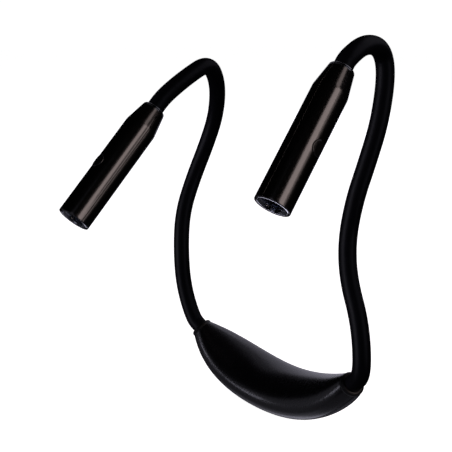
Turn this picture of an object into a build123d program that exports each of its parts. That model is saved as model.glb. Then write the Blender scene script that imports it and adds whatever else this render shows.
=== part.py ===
from build123d import *
import math
import os

# A neck reading light: a crescent pod that lies on the neck, two bendable arms and two light heads.
# The frame's origin is the middle of the pod's hollow side, +X runs towards the arm called right,
# +Z is up and -Y is where the heads reach. Lengths are in millimetres, angles in degrees.

# Pod
pod_bend_radius = 90.0
pod_half_angle = 44.2
pod_tilt = 20.0
pod_thickness = 21.2
pod_width = 38.0
pod_end_dia = 14.0
pod_wall = 1.8
pod_parting_drop = 5.6
pod_parting_gap = 0.3
pod_parting_depth = 0.5
pod_station_shares = (-1.0, -0.94, -0.82, -0.6, -0.3, 0.0, 0.3, 0.6, 0.82, 0.94, 1.0)
pod_cavity_shares = (-0.9, -0.8, -0.7, -0.55, -0.3, 0.0, 0.3, 0.55, 0.7, 0.8, 0.9)
pod_cavity_sides = 12
pod_swell_power = 3.5

# Arms
arm_dia = 10.0
arm_sleeve_wall = 1.5
arm_core_clearance = 0.1
arm_core_sides = 8
arm_fit_clearance = 0.06
arm_rise = 180.0
arm_round_share = 0.45

# The arms' route, as shares of arm_rise counted from the middle of the pod's end collar.
# The first point lies on the collar's axis, so only its distance is given.
left_exit_share = 0.040
left_route_shares = (
    (-0.072, -0.018, 0.144),
    (-0.081, -0.020, 0.285),
    (-0.116, 0.019, 0.402),
    (-0.125, 0.078, 0.519),
    (-0.096, 0.117, 0.641),
    (-0.042, 0.116, 0.752),
    (0.021, 0.069, 0.866),
    (0.075, -0.019, 0.939),
    (0.108, -0.144, 0.894),
    (0.122, -0.244, 0.841),
    (0.121, -0.282, 0.802),
)
right_exit_share = 0.066
right_route_shares = (
    (0.028, -0.010, 0.194),
    (-0.042, 0.011, 0.317),
    (-0.081, 0.046, 0.424),
    (-0.057, 0.048, 0.551),
    (-0.041, 0.082, 0.663),
    (-0.026, 0.115, 0.784),
    (-0.037, 0.151, 0.923),
    (-0.038, 0.122, 0.994),
    (0.012, -0.011, 1.007),
    (0.036, -0.110, 0.971),
    (0.037, -0.133, 0.942),
)
# Which points each stretch of an arm goes round, from the pod to the head.
stretch_corners = (
    ("root_bend", 1, 2),
    ("lower_span", 3, 4),
    ("middle_bend", 5, 6),
    ("upper_span", 7, 8),
    ("top_bend", 9, 11),
)

# End collars and the rings that grip the arms' cores
collar_lip = 2.6
collar_lip_bevel = 1.0
collar_spigot = 5.0
collar_wall = 0.85
collar_clearance = 0.05
anchor_length = 5.0
anchor_wall = 2.1
anchor_gap = 0.2

# Heads
head_dia = 18.6
head_length = 78.0
head_taper = 14.0
head_tail_dia = 13.2
head_tail_bevel = 0.8
head_wall = 1.2
head_front_wall = 0.8
head_front_bevel = 0.3
head_grip_length = 15.0
head_seam_gap = 0.25
head_seam_depth = 0.3
left_head_roll = 85.0
right_head_roll = -176.0

# Light in the head's front end
bezel_recess = 1.0
bezel_depth = 4.0
bezel_lip = 0.6
bezel_lip_width = 0.75
bezel_wall = 0.3
bezel_clearance = 0.05
lens_thickness = 1.8
lens_crown = 0.4
lens_crown_bevel = 0.3
lens_clearance = 0.05
reflector_depth = 7.6
reflector_clearance = 0.1
reflector_floor = 1.0
reflector_rim = 0.5
led_count = 3
led_size = 3.0
led_height = 0.9
led_window_dia = 2.4
led_window_height = 0.2
led_ring_dia = 6.4
led_hole_clearance = 0.3
led_board_thickness = 1.4
led_board_clearance = 0.1
ledge_width = 1.6
ledge_thickness = 1.2

# Switch and button
button_place = 33.5
button_dia = 8.0
button_rise = 0.5
button_dish_radius = 14.0
button_dish_depth = 0.35
button_clearance = 0.15
button_flange = 0.8
button_flange_width = 0.7
button_flange_gap = 0.15
button_stem_dia = 3.0
button_travel = 0.5
button_stem_depth = 0.8
switch_size = 6.0
switch_height = 3.5
switch_well_floor_gap = 0.3
switch_well_clearance = 0.1
switch_board_length = 38.0
switch_board_width = 14.0
switch_board_thickness = 1.0
switch_board_top = 1.7
board_post_dia = 3.0
board_post_pitch = 28.0
wire_dia = 1.0
wire_pitch = 1.6
wire_board_run = 5.0
wire_seat_gap = 0.02

# Battery, board and socket in the pod
battery_length = 42.0
battery_width = 24.0
battery_thickness = 8.0
battery_round = 1.5
battery_seat_drop = 13.8
battery_rib_count = 3
battery_rib_pitch = 14.0
battery_rib_thickness = 1.2
battery_rib_width = 18.0
control_place_share = 0.6
control_length = 20.0
control_back_width = 7.0
control_front_width = 10.5
control_thickness = 1.2
control_top_drop = 1.6
control_chip_length = 6.0
control_chip_width = 5.0
control_chip_height = 1.4
control_chip_edge_gap = 1.0
control_hole_clearance = 0.2
control_post_dia = 4.0
control_post_offset = 5.0
screw_dia = 1.6
screw_head_dia = 3.0
screw_head_height = 1.0
screw_length = 4.0
screw_thread_clearance = 0.06
screw_tip_gap = 0.5
socket_width = 9.0
socket_height = 3.2
socket_depth = 7.4
socket_round = 1.4
socket_wall = 0.35
socket_tongue_thickness = 0.7
socket_tongue_width = 6.2
socket_tongue_back = 1.0
socket_inset = 0.5
socket_clearance = 0.2
lead_dia = 1.2
lead_clearance = 0.4
lead_pitch = 1.5
lead_bend_radius = 3.0
lead_exit_run = 3.0
lead_side_drop = 0.2
lead_side_share = 0.36
lead_landing_share = 0.52
lead_landing_edge_gap = 1.2

overrun = 1.0

head_radius = head_dia / 2
head_bore = head_radius - head_wall
arm_radius = arm_dia / 2
sleeve_bore = arm_radius - arm_sleeve_wall
core_radius = sleeve_bore - arm_core_clearance
anchor_bore = core_radius + arm_core_clearance / 2
anchor_radius = sleeve_bore + anchor_wall
core_end_depth = collar_spigot + anchor_gap + anchor_length
collar_bore = arm_radius + arm_fit_clearance
pod_place = Location((0, 0, 0), (pod_tilt, 0, 0))
pod_axis_drop = pod_thickness / 2
pod_centre_height = pod_bend_radius - pod_axis_drop


def rod(radius, start, length, along=Axis.Z):
    """A round bar on a line through the origin, from start for length along it."""
    turned = Plane(origin=along.direction * start, z_dir=along.direction)
    return turned * Cylinder(radius, length, align=(Align.CENTER, Align.CENTER, Align.MIN))


def bar_between(start, end, radius):
    """A round bar from one point to another."""
    along = end - start
    return Plane(origin=start, z_dir=along) * Cylinder(
        radius, along.length, align=(Align.CENTER, Align.CENTER, Align.MIN)
    )


def slab(low, high):
    """A box between two corners."""
    size = [b - a for a, b in zip(low, high)]
    middle = [(a + b) / 2 for a, b in zip(low, high)]
    return Pos(*middle) * Box(*size)


def turned_ring(points):
    """A solid of revolution about Z of a closed outline given as (radius, height) points."""
    outline = Polyline(*[(r, 0, z) for r, z in points], close=True)
    return revolve(make_face(outline), Axis.Z)


# Pod: the frame along its bend
def pod_frame(share):
    """Plane across the pod at a share of its half angle: its normal runs along the pod."""
    angle = math.radians(pod_half_angle * share)
    origin = (
        pod_bend_radius * math.sin(angle),
        0,
        pod_centre_height - pod_bend_radius * math.cos(angle),
    )
    return Plane(origin=origin, x_dir=(0, 1, 0), z_dir=(math.cos(angle), 0, math.sin(angle)))


def pod_half_sizes(share, inset=0.0):
    """The section's half width and half thickness at a share of the half angle."""
    swell = 1 - abs(share) ** pod_swell_power
    end = pod_end_dia / 2
    half_width = end + (pod_width / 2 - end) * swell - inset
    half_thickness = end + (pod_thickness / 2 - end) * swell - inset
    return half_width, half_thickness


def pod_body(inset=0.0):
    """The pod's swelling crescent through its stations, drawn in by inset."""
    sections = []
    for share in pod_station_shares:
        half_width, half_thickness = pod_half_sizes(share, inset)
        sections.append(pod_frame(share) * Ellipse(half_width, half_thickness))
    return loft(sections)


def pod_cavity():
    """The hollow inside the pod's wall, with flat sides."""
    turns = [math.radians(360 * (number + 1 / 2) / pod_cavity_sides) for number in range(pod_cavity_sides)]
    sections = []
    for share in pod_cavity_shares:
        half_width, half_thickness = pod_half_sizes(share, pod_wall)
        corners = [(half_width * math.cos(turn), half_thickness * math.sin(turn)) for turn in turns]
        sections.append(pod_frame(share) * Polygon(*corners, align=None))
    return loft(sections, ruled=True)


def bend_disc(radius, width):
    """A round disc about the pod's bend centre, with its axis across the pod."""
    disc = Cylinder(radius, width)
    return Pos(0, 0, pod_centre_height) * Rot(90, 0, 0) * disc


def pod_end_plane(side):
    """Plane on the pod's end face, its normal pointing out of the pod, in the pod's own frame."""
    frame = pod_frame(side)
    return Plane(origin=frame.origin, x_dir=(0, 1, 0), z_dir=frame.z_dir * side)


control_frame = pod_frame(control_place_share)


def in_control_frame(solid):
    """Places a solid drawn with X along the pod, Y across it and Z towards the neck."""
    frame = Plane(origin=control_frame.origin, x_dir=control_frame.z_dir, z_dir=-control_frame.y_dir)
    if frame.z_dir.Z < 0:
        frame = Plane(origin=control_frame.origin, x_dir=control_frame.z_dir, z_dir=control_frame.y_dir)
    return frame * solid


def socket_front():
    """Distance across the pod from its middle to the socket's mouth."""
    return pod_half_sizes(control_place_share)[0] - socket_inset


def make_pod_shells():
    """The neck shell and the back cover, with the cover's ribs and posts."""
    wall = pod_body() - pod_cavity()
    bore_depth = core_end_depth + overrun
    for side in (-1, 1):
        bore = rod(collar_bore + collar_wall + collar_clearance, -bore_depth, bore_depth + overrun)
        wall -= pod_end_plane(side) * bore
    slot = Pos(0, socket_front(), 0) * Box(
        socket_width + 2 * socket_clearance,
        2 * (pod_wall + socket_inset + overrun),
        socket_height + 2 * socket_clearance,
    )
    slot = fillet(slot.edges().filter_by(Axis.Y), socket_round)
    wall -= in_control_frame(slot)
    parting = pod_bend_radius + pod_parting_drop
    inside = bend_disc(parting, 2 * pod_width)
    groove = bend_disc(parting + pod_parting_gap / 2, 2 * pod_width)
    groove -= bend_disc(parting - pod_parting_gap / 2, 2 * pod_width + overrun)
    groove -= pod_body(pod_parting_depth)
    wall -= groove
    neck_shell = wall & inside
    back_cover = wall - inside
    inside_wall = pod_body(pod_wall / 2)
    ribs = []
    for number in range(battery_rib_count):
        x = (number - (battery_rib_count - 1) / 2) * battery_rib_pitch
        ribs.append(
            slab(
                (x - battery_rib_thickness / 2, -battery_rib_width / 2, -pod_thickness),
                (x + battery_rib_thickness / 2, battery_rib_width / 2, -battery_seat_drop),
            )
        )
    board_under = -control_top_drop - control_thickness
    posts = []
    for sign in (-1, 1):
        post = rod(control_post_dia / 2, -pod_thickness / 2, pod_thickness / 2 + board_under)
        post -= rod(screw_dia / 2, board_under - screw_length, screw_length + overrun)
        posts.append(in_control_frame(Pos(sign * control_post_offset, 0, 0) * post))
    for piece in ribs + posts:
        back_cover += piece & inside_wall
    return neck_shell, back_cover


def make_collar(side):
    """The ring that closes the pod's end round the arm: a rounded lip and a spigot."""
    lip = rod(pod_end_dia / 2, 0, collar_lip)
    lip = chamfer(lip.edges().sort_by(Axis.Z)[-1], collar_lip_bevel)
    collar = lip + rod(collar_bore + collar_wall, -collar_spigot, collar_spigot + collar_lip / 2)
    collar -= rod(collar_bore, -collar_spigot - overrun, collar_spigot + collar_lip + 2 * overrun)
    return pod_end_plane(side) * collar


def grip_ring(start):
    """The ring that is pressed on a core's end, from start along Z."""
    ring = rod(anchor_radius, start, anchor_length)
    return ring - rod(anchor_bore, start - overrun, anchor_length + 2 * overrun)


def make_anchor(side):
    """The steel ring pressed on the core's end inside the pod."""
    return pod_end_plane(side) * grip_ring(-core_end_depth)


def make_battery():
    """The flat pouch cell that lies on the cover's ribs."""
    cell = slab(
        (-battery_length / 2, -battery_width / 2, -battery_seat_drop),
        (battery_length / 2, battery_width / 2, -battery_seat_drop + battery_thickness),
    )
    return fillet(cell.edges().filter_by(Axis.X), battery_round)


def make_control_board():
    """The charging and control board with its chip."""
    top = -control_top_drop
    board = slab(
        (-control_length / 2, -control_back_width, top - control_thickness),
        (control_length / 2, control_front_width, top),
    )
    chip_edge = -control_back_width + control_chip_edge_gap
    chip = slab(
        (-control_chip_length / 2, chip_edge, top),
        (control_chip_length / 2, chip_edge + control_chip_width, top + control_chip_height),
    )
    board += chip
    hole_radius = screw_dia / 2 + control_hole_clearance
    for sign in (-1, 1):
        hole = rod(hole_radius, top - control_thickness - overrun, control_thickness + 2 * overrun)
        board -= Pos(sign * control_post_offset, 0, 0) * hole
    return in_control_frame(board)


def make_control_screws():
    """The two screws that hold the board on its posts."""
    top = -control_top_drop
    screws = []
    for sign in (-1, 1):
        shank = rod(screw_dia / 2 - screw_thread_clearance, top + screw_tip_gap - screw_length, screw_length)
        head = rod(screw_head_dia / 2, top, screw_head_height)
        screws.append(in_control_frame(Pos(sign * control_post_offset, 0, 0) * (shank + head)))
    return screws


def make_socket():
    """The charging socket: a flat rounded can with its contact tongue."""
    front = socket_front()
    back = front - socket_depth
    can = slab(
        (-socket_width / 2, back, -socket_height / 2),
        (socket_width / 2, front, socket_height / 2),
    )
    can = fillet(can.edges().filter_by(Axis.Y), socket_round)
    mouth = slab(
        (-socket_width / 2 + socket_wall, back + socket_tongue_back, -socket_height / 2 + socket_wall),
        (socket_width / 2 - socket_wall, front + overrun, socket_height / 2 - socket_wall),
    )
    mouth = fillet(mouth.edges().filter_by(Axis.Y), socket_round - socket_wall)
    tongue = slab(
        (-socket_tongue_width / 2, back, -socket_tongue_thickness / 2),
        (socket_tongue_width / 2, front - socket_tongue_back, socket_tongue_thickness / 2),
    )
    return in_control_frame(can - mouth + tongue)


def make_pod_leads():
    """The two leads from the left arm's core, past the battery and on to the board."""
    end = pod_end_plane(-1)
    core_end = end.origin - end.z_dir * core_end_depth
    beside = -battery_width / 2 - lead_clearance - lead_dia / 2
    landing = -control_back_width + lead_landing_edge_gap
    seated = lead_dia / 2 + wire_seat_gap - control_top_drop
    leads = []
    for spread in (-lead_pitch / 2, lead_pitch / 2):
        corners = [core_end - end.z_dir * lead_exit_run + Vector(0, spread, 0)]
        for share in (-lead_side_share, lead_side_share):
            frame = pod_frame(share)
            corners.append(frame.origin + Vector(0, beside, 0) - frame.y_dir * (lead_side_drop + spread))
        frame = pod_frame(lead_landing_share)
        finish = frame.origin + Vector(0, landing, 0) + frame.y_dir * seated + frame.z_dir * spread
        start = core_end - end.z_dir * wire_seat_gap + Vector(0, spread, 0)
        bends = [lead_bend_radius] * len(corners)
        leads.append(tube_through(start, corners, bends, finish, Circle(lead_dia / 2)))
    return leads


# Arms: the route and its stretches
def collar_mouth(side):
    """Plane on the collar's outer face, in the part's frame."""
    end = pod_end_plane(side)
    face = Plane(origin=end.origin + end.z_dir * collar_lip, x_dir=end.x_dir, z_dir=end.z_dir)
    return Plane(pod_place * face.location)


def arm_route(side, exit_share, shares):
    """The points of an arm's middle line, from inside the pod's collar to inside the head's tail."""
    mouth = collar_mouth(side)
    start = mouth.origin - mouth.z_dir * (collar_lip + collar_spigot)
    points = [start, mouth.origin + mouth.z_dir * (exit_share * arm_rise)]
    points += [mouth.origin + Vector(*place) * arm_rise for place in shares]
    inward = (points[-1] - points[-2]).normalized()
    points[-1] = points[-1] + inward * head_grip_length
    return points


def half_way(a, b):
    """The point half way between two points."""
    return (a + b) / 2


def corner_radii(points):
    """The bend radius at each inner point, as large as the runs outside the collar and the tail allow."""
    runs = [(b - a).length for a, b in zip(points, points[1:])]
    runs[0] -= collar_lip + collar_spigot
    runs[-1] -= head_grip_length
    radii = [0.0]
    for number in range(1, len(points) - 1):
        before = points[number] - points[number - 1]
        after = points[number + 1] - points[number]
        turn = math.radians(before.get_angle(after))
        radii.append(arm_round_share * min(runs[number - 1], runs[number]) / math.tan(turn / 2))
    return radii


def tube_through(start, corners, radii, end, section):
    """A tube of straight runs and arcs that touch them, swept from start to end round the corners."""
    pieces = []
    here = start
    for corner, radius, after_point in zip(corners, radii, corners[1:] + [end]):
        before = (corner - here).normalized()
        after = (after_point - corner).normalized()
        turn = before.get_angle(after)
        setback = radius * math.tan(math.radians(turn / 2))
        arc_start = corner - before * setback
        run = (arc_start - here).length
        pieces.append(extrude(Plane(origin=here, z_dir=before) * section, run))
        hinge = before.cross(after).normalized()
        centre = arc_start + hinge.cross(before) * radius
        pieces.append(revolve(Plane(origin=arc_start, z_dir=before) * section, Axis(centre, hinge), turn))
        here = corner + after * setback
    last = end - here
    pieces.append(extrude(Plane(origin=here, z_dir=last) * section, last.length))
    return pieces[0].fuse(*pieces[1:])


def make_arm(name, points):
    """The rubber sleeve and the steel core of each stretch of one arm."""
    nodes = {}
    radii = corner_radii(points)
    end = len(points) - 1
    outward = (points[0] - points[1]).normalized()
    inward = (points[end] - points[end - 1]).normalized()
    sleeve = Circle(arm_radius) - RegularPolygon(sleeve_bore, arm_core_sides)
    core = RegularPolygon(core_radius, arm_core_sides)
    for label, first, last in stretch_corners:
        at_pod = first == 1
        at_head = last == end - 1
        start = points[0] if at_pod else half_way(points[first - 1], points[first])
        finish = points[end] if at_head else half_way(points[last], points[last + 1])
        corners = points[first:last + 1]
        bends = radii[first:last + 1]
        nodes[f"{name}_{label}_sleeve"] = tube_through(start, corners, bends, finish, sleeve)
        core_start = start + outward * (anchor_gap + anchor_length) if at_pod else start
        core_finish = finish + inward * anchor_length if at_head else finish
        nodes[f"{name}_{label}_core"] = tube_through(core_start, corners, bends, core_finish, core)
    return nodes


# Heads, drawn with the front at the origin, +Z towards the arm and +X towards the button
def head_plane(points, roll):
    """The head's own frame, in the part's frame."""
    forward = (points[-1] - points[-2]).normalized()
    rear = points[-1] - forward * head_grip_length
    level = forward.cross(Vector(0, 0, 1)).normalized()
    upward = level.cross(forward)
    turn = math.radians(roll)
    button = level * math.cos(turn) + upward * math.sin(turn)
    return Plane(origin=rear + forward * head_length, x_dir=button, z_dir=-forward)


tail_start = head_length - head_taper
grip_start = head_length - head_grip_length
bezel_back = bezel_recess + bezel_depth
lens_front = bezel_recess + bezel_lip
lens_back = lens_front + lens_thickness
reflector_back = lens_back + reflector_depth
led_board_back = reflector_back + led_board_thickness
board_front = led_board_back + ledge_thickness
board_low = switch_board_top - switch_board_thickness


def make_head_halves():
    """The two half shells of a head, which meet in the plane across the button."""
    shell = turned_ring(
        [
            (0, 0),
            (head_radius, 0),
            (head_radius, tail_start),
            (head_tail_dia / 2, head_length),
            (0, head_length),
        ]
    )
    ends = shell.edges().filter_by(GeomType.CIRCLE).sort_by(Axis.Z)
    shell = chamfer(ends[-1], head_tail_bevel)
    shell = chamfer(shell.edges().filter_by(GeomType.CIRCLE).sort_by(Axis.Z)[0], head_front_bevel)
    shell -= rod(head_radius - head_front_wall, -overrun, bezel_back + overrun)
    shell -= rod(head_bore, bezel_back - overrun, led_board_back - bezel_back + overrun)
    shell -= rod(head_bore - ledge_width, led_board_back - overrun, ledge_thickness + 2 * overrun)
    shell -= rod(head_bore, board_front, grip_start - board_front)
    shell -= rod(collar_bore, grip_start - overrun, head_grip_length + 2 * overrun)
    groove = slab(
        (-head_seam_gap / 2, -head_dia, -overrun),
        (head_seam_gap / 2, head_dia, head_length + overrun),
    )
    core = turned_ring(
        [
            (0, -2 * overrun),
            (head_radius - head_seam_depth, -2 * overrun),
            (head_radius - head_seam_depth, tail_start),
            (head_tail_dia / 2 - head_seam_depth, head_length),
            (0, head_length + 2 * overrun),
        ]
    )
    shell -= groove - core
    button_side = slab((0, -head_dia, -overrun), (head_dia, head_dia, head_length + overrun))
    button_half = shell & button_side
    hole = rod(button_dia / 2 + button_clearance, 0, head_dia, Axis.X)
    button_half -= Pos(0, 0, button_place) * hole
    plain_half = shell - button_side
    post_foot = head_radius - head_wall / 2
    post = rod(board_post_dia / 2, -post_foot, post_foot + board_low, Axis.X)
    for sign in (-1, 1):
        plain_half += Pos(0, 0, board_front + switch_board_length / 2 + sign * board_post_pitch / 2) * post
    return button_half, plain_half


def make_bezel():
    """The bright ring that holds the lens."""
    outside = head_radius - head_front_wall - bezel_clearance
    inside = outside - bezel_wall
    return turned_ring(
        [
            (outside - bezel_lip_width, bezel_recess),
            (outside, bezel_recess),
            (outside, bezel_back),
            (inside, bezel_back),
            (inside, lens_front),
            (outside - bezel_lip_width, lens_front),
        ]
    )


def make_lens():
    """The clear lens: a flat rim and a low crown behind the bezel's lip."""
    radius = head_radius - head_front_wall - bezel_clearance - bezel_wall - lens_clearance
    crown_radius = radius - bezel_lip_width - lens_clearance
    crown = rod(crown_radius, lens_front - lens_crown, lens_crown + lens_thickness / 2)
    crown = chamfer(crown.edges().sort_by(Axis.Z)[0], lens_crown_bevel)
    return rod(radius, lens_front, lens_thickness) + crown


def make_reflector():
    """The cup behind the lens, with a hole for each lamp chip."""
    outside = head_bore - reflector_clearance
    floor_front = reflector_back - reflector_floor
    floor_radius = led_ring_dia / 2 + led_size
    cup = rod(outside, lens_back, reflector_depth)
    bowl = turned_ring(
        [
            (0, lens_back - overrun),
            (outside - reflector_rim, lens_back - overrun),
            (outside - reflector_rim, lens_back),
            (floor_radius, floor_front),
            (0, floor_front),
        ]
    )
    cup -= bowl
    hole_radius = led_size / 2 * math.sqrt(2) + led_hole_clearance
    hole = rod(hole_radius, floor_front - overrun, reflector_floor + 2 * overrun)
    for place in led_places():
        cup -= Pos(*place, 0) * hole
    return cup


def led_places():
    """Where the lamp chips stand on their ring."""
    places = []
    for number in range(led_count):
        angle = math.radians(90 + 360 * number / led_count)
        places.append((led_ring_dia / 2 * math.cos(angle), led_ring_dia / 2 * math.sin(angle)))
    return places


def make_leds():
    """The lamp chips on the front of their board, each with its round window."""
    lamps = []
    for x, y in led_places():
        chip = Box(led_size, led_size, led_height, align=(Align.CENTER, Align.CENTER, Align.MAX))
        window = rod(led_window_dia / 2, -led_height - led_window_height, led_window_height)
        lamps.append(Pos(x, y, reflector_back) * (chip + window))
    return lamps


def make_led_board():
    """The round metal board that carries the lamp chips."""
    return rod(head_bore - led_board_clearance, reflector_back, led_board_thickness)


def make_switch_board():
    """The narrow board along the head, on its two posts."""
    return slab(
        (board_low, -switch_board_width / 2, board_front),
        (switch_board_top, switch_board_width / 2, board_front + switch_board_length),
    )


def make_switch():
    """The push switch under the button, with the well that the button's stem enters."""
    half = switch_size / 2
    top = switch_board_top + switch_height
    body = slab(
        (switch_board_top, -half, button_place - half),
        (top, half, button_place + half),
    )
    well_depth = button_stem_depth + button_travel + switch_well_floor_gap
    well = rod(button_stem_dia / 2 + switch_well_clearance, top - well_depth, well_depth + overrun, Axis.X)
    return body - Pos(0, 0, button_place) * well


def make_button():
    """The push button: a dished cap, an inner flange that keeps it in, and a stem."""
    switch_top = switch_board_top + switch_height
    flange_outer = head_bore - button_flange_gap
    cap = rod(button_dia / 2, 0, head_dia, Axis.X)
    cap &= Pos(0, 0, -button_place) * rod(head_radius + button_rise, 0, head_length)
    flange = rod(button_dia / 2 + button_flange_width, 0, head_dia, Axis.X)
    flange &= Pos(0, 0, -button_place) * rod(flange_outer, 0, head_length)
    button = cap + flange
    hollow = rod(flange_outer - button_flange, -overrun, head_length + 2 * overrun)
    button -= Pos(0, 0, -button_place) * hollow
    ball_centre = head_radius + button_rise - button_dish_depth + button_dish_radius
    button -= Pos(ball_centre, 0, 0) * Sphere(button_dish_radius)
    stem_start = switch_top - button_stem_depth
    button += rod(button_stem_dia / 2, stem_start, flange_outer - stem_start, Axis.X)
    return Pos(0, 0, button_place) * button


def make_head_wires():
    """The wires from the core's end to the board, and from the board to the lamp board."""
    height = switch_board_top + wire_dia / 2 + wire_seat_gap
    core_end = grip_start - anchor_length
    rear_start = board_front + switch_board_length - wire_board_run
    rear = rod(wire_dia / 2, rear_start, core_end - wire_seat_gap - rear_start)
    front = rod(wire_dia / 2, led_board_back, ledge_thickness + wire_board_run)
    sides = (Pos(height, -wire_pitch / 2, 0), Pos(height, wire_pitch / 2, 0))
    return [side * wire for side in sides for wire in (rear, front)]


def make_head(name, points, roll):
    """All the pieces of one head, in the part's frame."""
    button_half, plain_half = make_head_halves()
    pieces = {
        "button_half_shell": button_half,
        "plain_half_shell": plain_half,
        "bezel": make_bezel(),
        "lens": make_lens(),
        "reflector": make_reflector(),
        "leds": make_leds(),
        "led_board": make_led_board(),
        "switch_board": make_switch_board(),
        "switch": make_switch(),
        "button": make_button(),
        "arm_ferrule": grip_ring(grip_start - anchor_length),
        "wires": make_head_wires(),
    }
    place = head_plane(points, roll)
    nodes = {}
    for label, piece in pieces.items():
        nodes[f"{name}_{label}"] = [place * s for s in piece] if isinstance(piece, list) else place * piece
    return nodes


def make_pod():
    """All the pieces of the pod, in the part's frame."""
    neck_shell, back_cover = make_pod_shells()
    pieces = {
        "neck_shell": neck_shell,
        "back_cover": back_cover,
        "left_end_collar": make_collar(-1),
        "right_end_collar": make_collar(1),
        "left_arm_anchor": make_anchor(-1),
        "right_arm_anchor": make_anchor(1),
        "battery_cell": make_battery(),
        "control_board": make_control_board(),
        "control_screws": make_control_screws(),
        "charge_socket": make_socket(),
        "pod_leads": make_pod_leads(),
    }
    nodes = {}
    for label, piece in pieces.items():
        nodes[label] = [pod_place * s for s in piece] if isinstance(piece, list) else pod_place * piece
    return nodes


def write_nodes(nodes):
    """Writes each node's solids to its own file."""
    os.makedirs("parts", exist_ok=True)
    for name, piece in nodes.items():
        solids = [s for part in (piece if isinstance(piece, list) else [piece]) for s in part.solids()]
        whole = solids[0] if len(solids) == 1 else Compound(children=solids)
        export_step(whole, f"parts/{name}.step")


left_points = arm_route(-1, left_exit_share, left_route_shares)
right_points = arm_route(1, right_exit_share, right_route_shares)

all_nodes = make_pod()
all_nodes.update(make_arm("left", left_points))
all_nodes.update(make_arm("right", right_points))
all_nodes.update(make_head("left", left_points, left_head_roll))
all_nodes.update(make_head("right", right_points, right_head_roll))
write_nodes(all_nodes)
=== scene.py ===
import logging
import math
from collections.abc import Callable, Sequence
from dataclasses import dataclass, field
from enum import Enum
from typing import NamedTuple

import bmesh
import bpy
from mathutils import Matrix, Vector


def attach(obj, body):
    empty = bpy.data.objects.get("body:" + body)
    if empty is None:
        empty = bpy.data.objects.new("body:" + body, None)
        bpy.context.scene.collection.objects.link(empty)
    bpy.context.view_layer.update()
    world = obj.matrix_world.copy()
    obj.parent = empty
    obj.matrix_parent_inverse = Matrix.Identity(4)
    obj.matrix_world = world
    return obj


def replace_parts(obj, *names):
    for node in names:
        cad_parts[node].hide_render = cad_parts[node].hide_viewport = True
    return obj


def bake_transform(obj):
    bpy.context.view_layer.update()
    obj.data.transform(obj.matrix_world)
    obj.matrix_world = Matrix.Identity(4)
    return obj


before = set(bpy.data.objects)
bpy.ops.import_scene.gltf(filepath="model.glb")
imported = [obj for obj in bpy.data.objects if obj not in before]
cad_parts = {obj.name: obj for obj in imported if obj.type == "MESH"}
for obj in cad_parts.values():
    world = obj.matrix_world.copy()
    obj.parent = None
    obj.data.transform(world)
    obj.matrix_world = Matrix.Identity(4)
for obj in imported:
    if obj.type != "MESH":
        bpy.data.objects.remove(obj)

Place = tuple[float, float]
Triple = tuple[float, float, float]
Colour = Triple

LOG = logging.getLogger("neck_light")
MM = 0.001
# Numbers of outputs and inputs on Blender's nodes: the first by place, the others share a name.
OBJECT_PLACE = 3
MIX_LOW, MIX_HIGH, MIX_COLOUR = 6, 7, 2


# ---------------------------------------------------------------- shader sheets
class Term:
    """A shader socket that takes part in Python maths: each operation adds a Math node."""

    def __init__(self, sheet: "NodeSheet", socket: "bpy.types.NodeSocket | None") -> None:
        """Keeps the sheet and the output socket."""
        self.sheet = sheet
        self.socket = socket

    def math(self, operation: str, *values: "Term | float") -> "Term":
        """The result of a Math node on the values, in order."""
        return self.sheet.node("ShaderNodeMath", {"operation": operation}, dict(enumerate(values)))

    def __add__(self, other: "Term | float") -> "Term":
        """self + other."""
        return self.math("ADD", self, other)

    def __sub__(self, other: "Term | float") -> "Term":
        """self - other."""
        return self.math("SUBTRACT", self, other)

    def __rsub__(self, other: float) -> "Term":
        """other - self."""
        return self.math("SUBTRACT", other, self)

    def __mul__(self, other: "Term | float") -> "Term":
        """self * other."""
        return self.math("MULTIPLY", self, other)

    __radd__ = __add__
    __rmul__ = __mul__

    def above(self, edge: float, softness: float) -> "Term":
        """A mask that rises from 0 to 1 where this value passes an edge.

        Args:
            edge: The value half way up the rise.
            softness: The width of the rise.

        Returns:
            The mask.
        """
        inputs = {"Value": self, "From Min": edge - softness / 2, "From Max": edge + softness / 2}
        settings = {"interpolation_type": "SMOOTHSTEP", "clamp": True}
        return self.sheet.node("ShaderNodeMapRange", settings, inputs)


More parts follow.
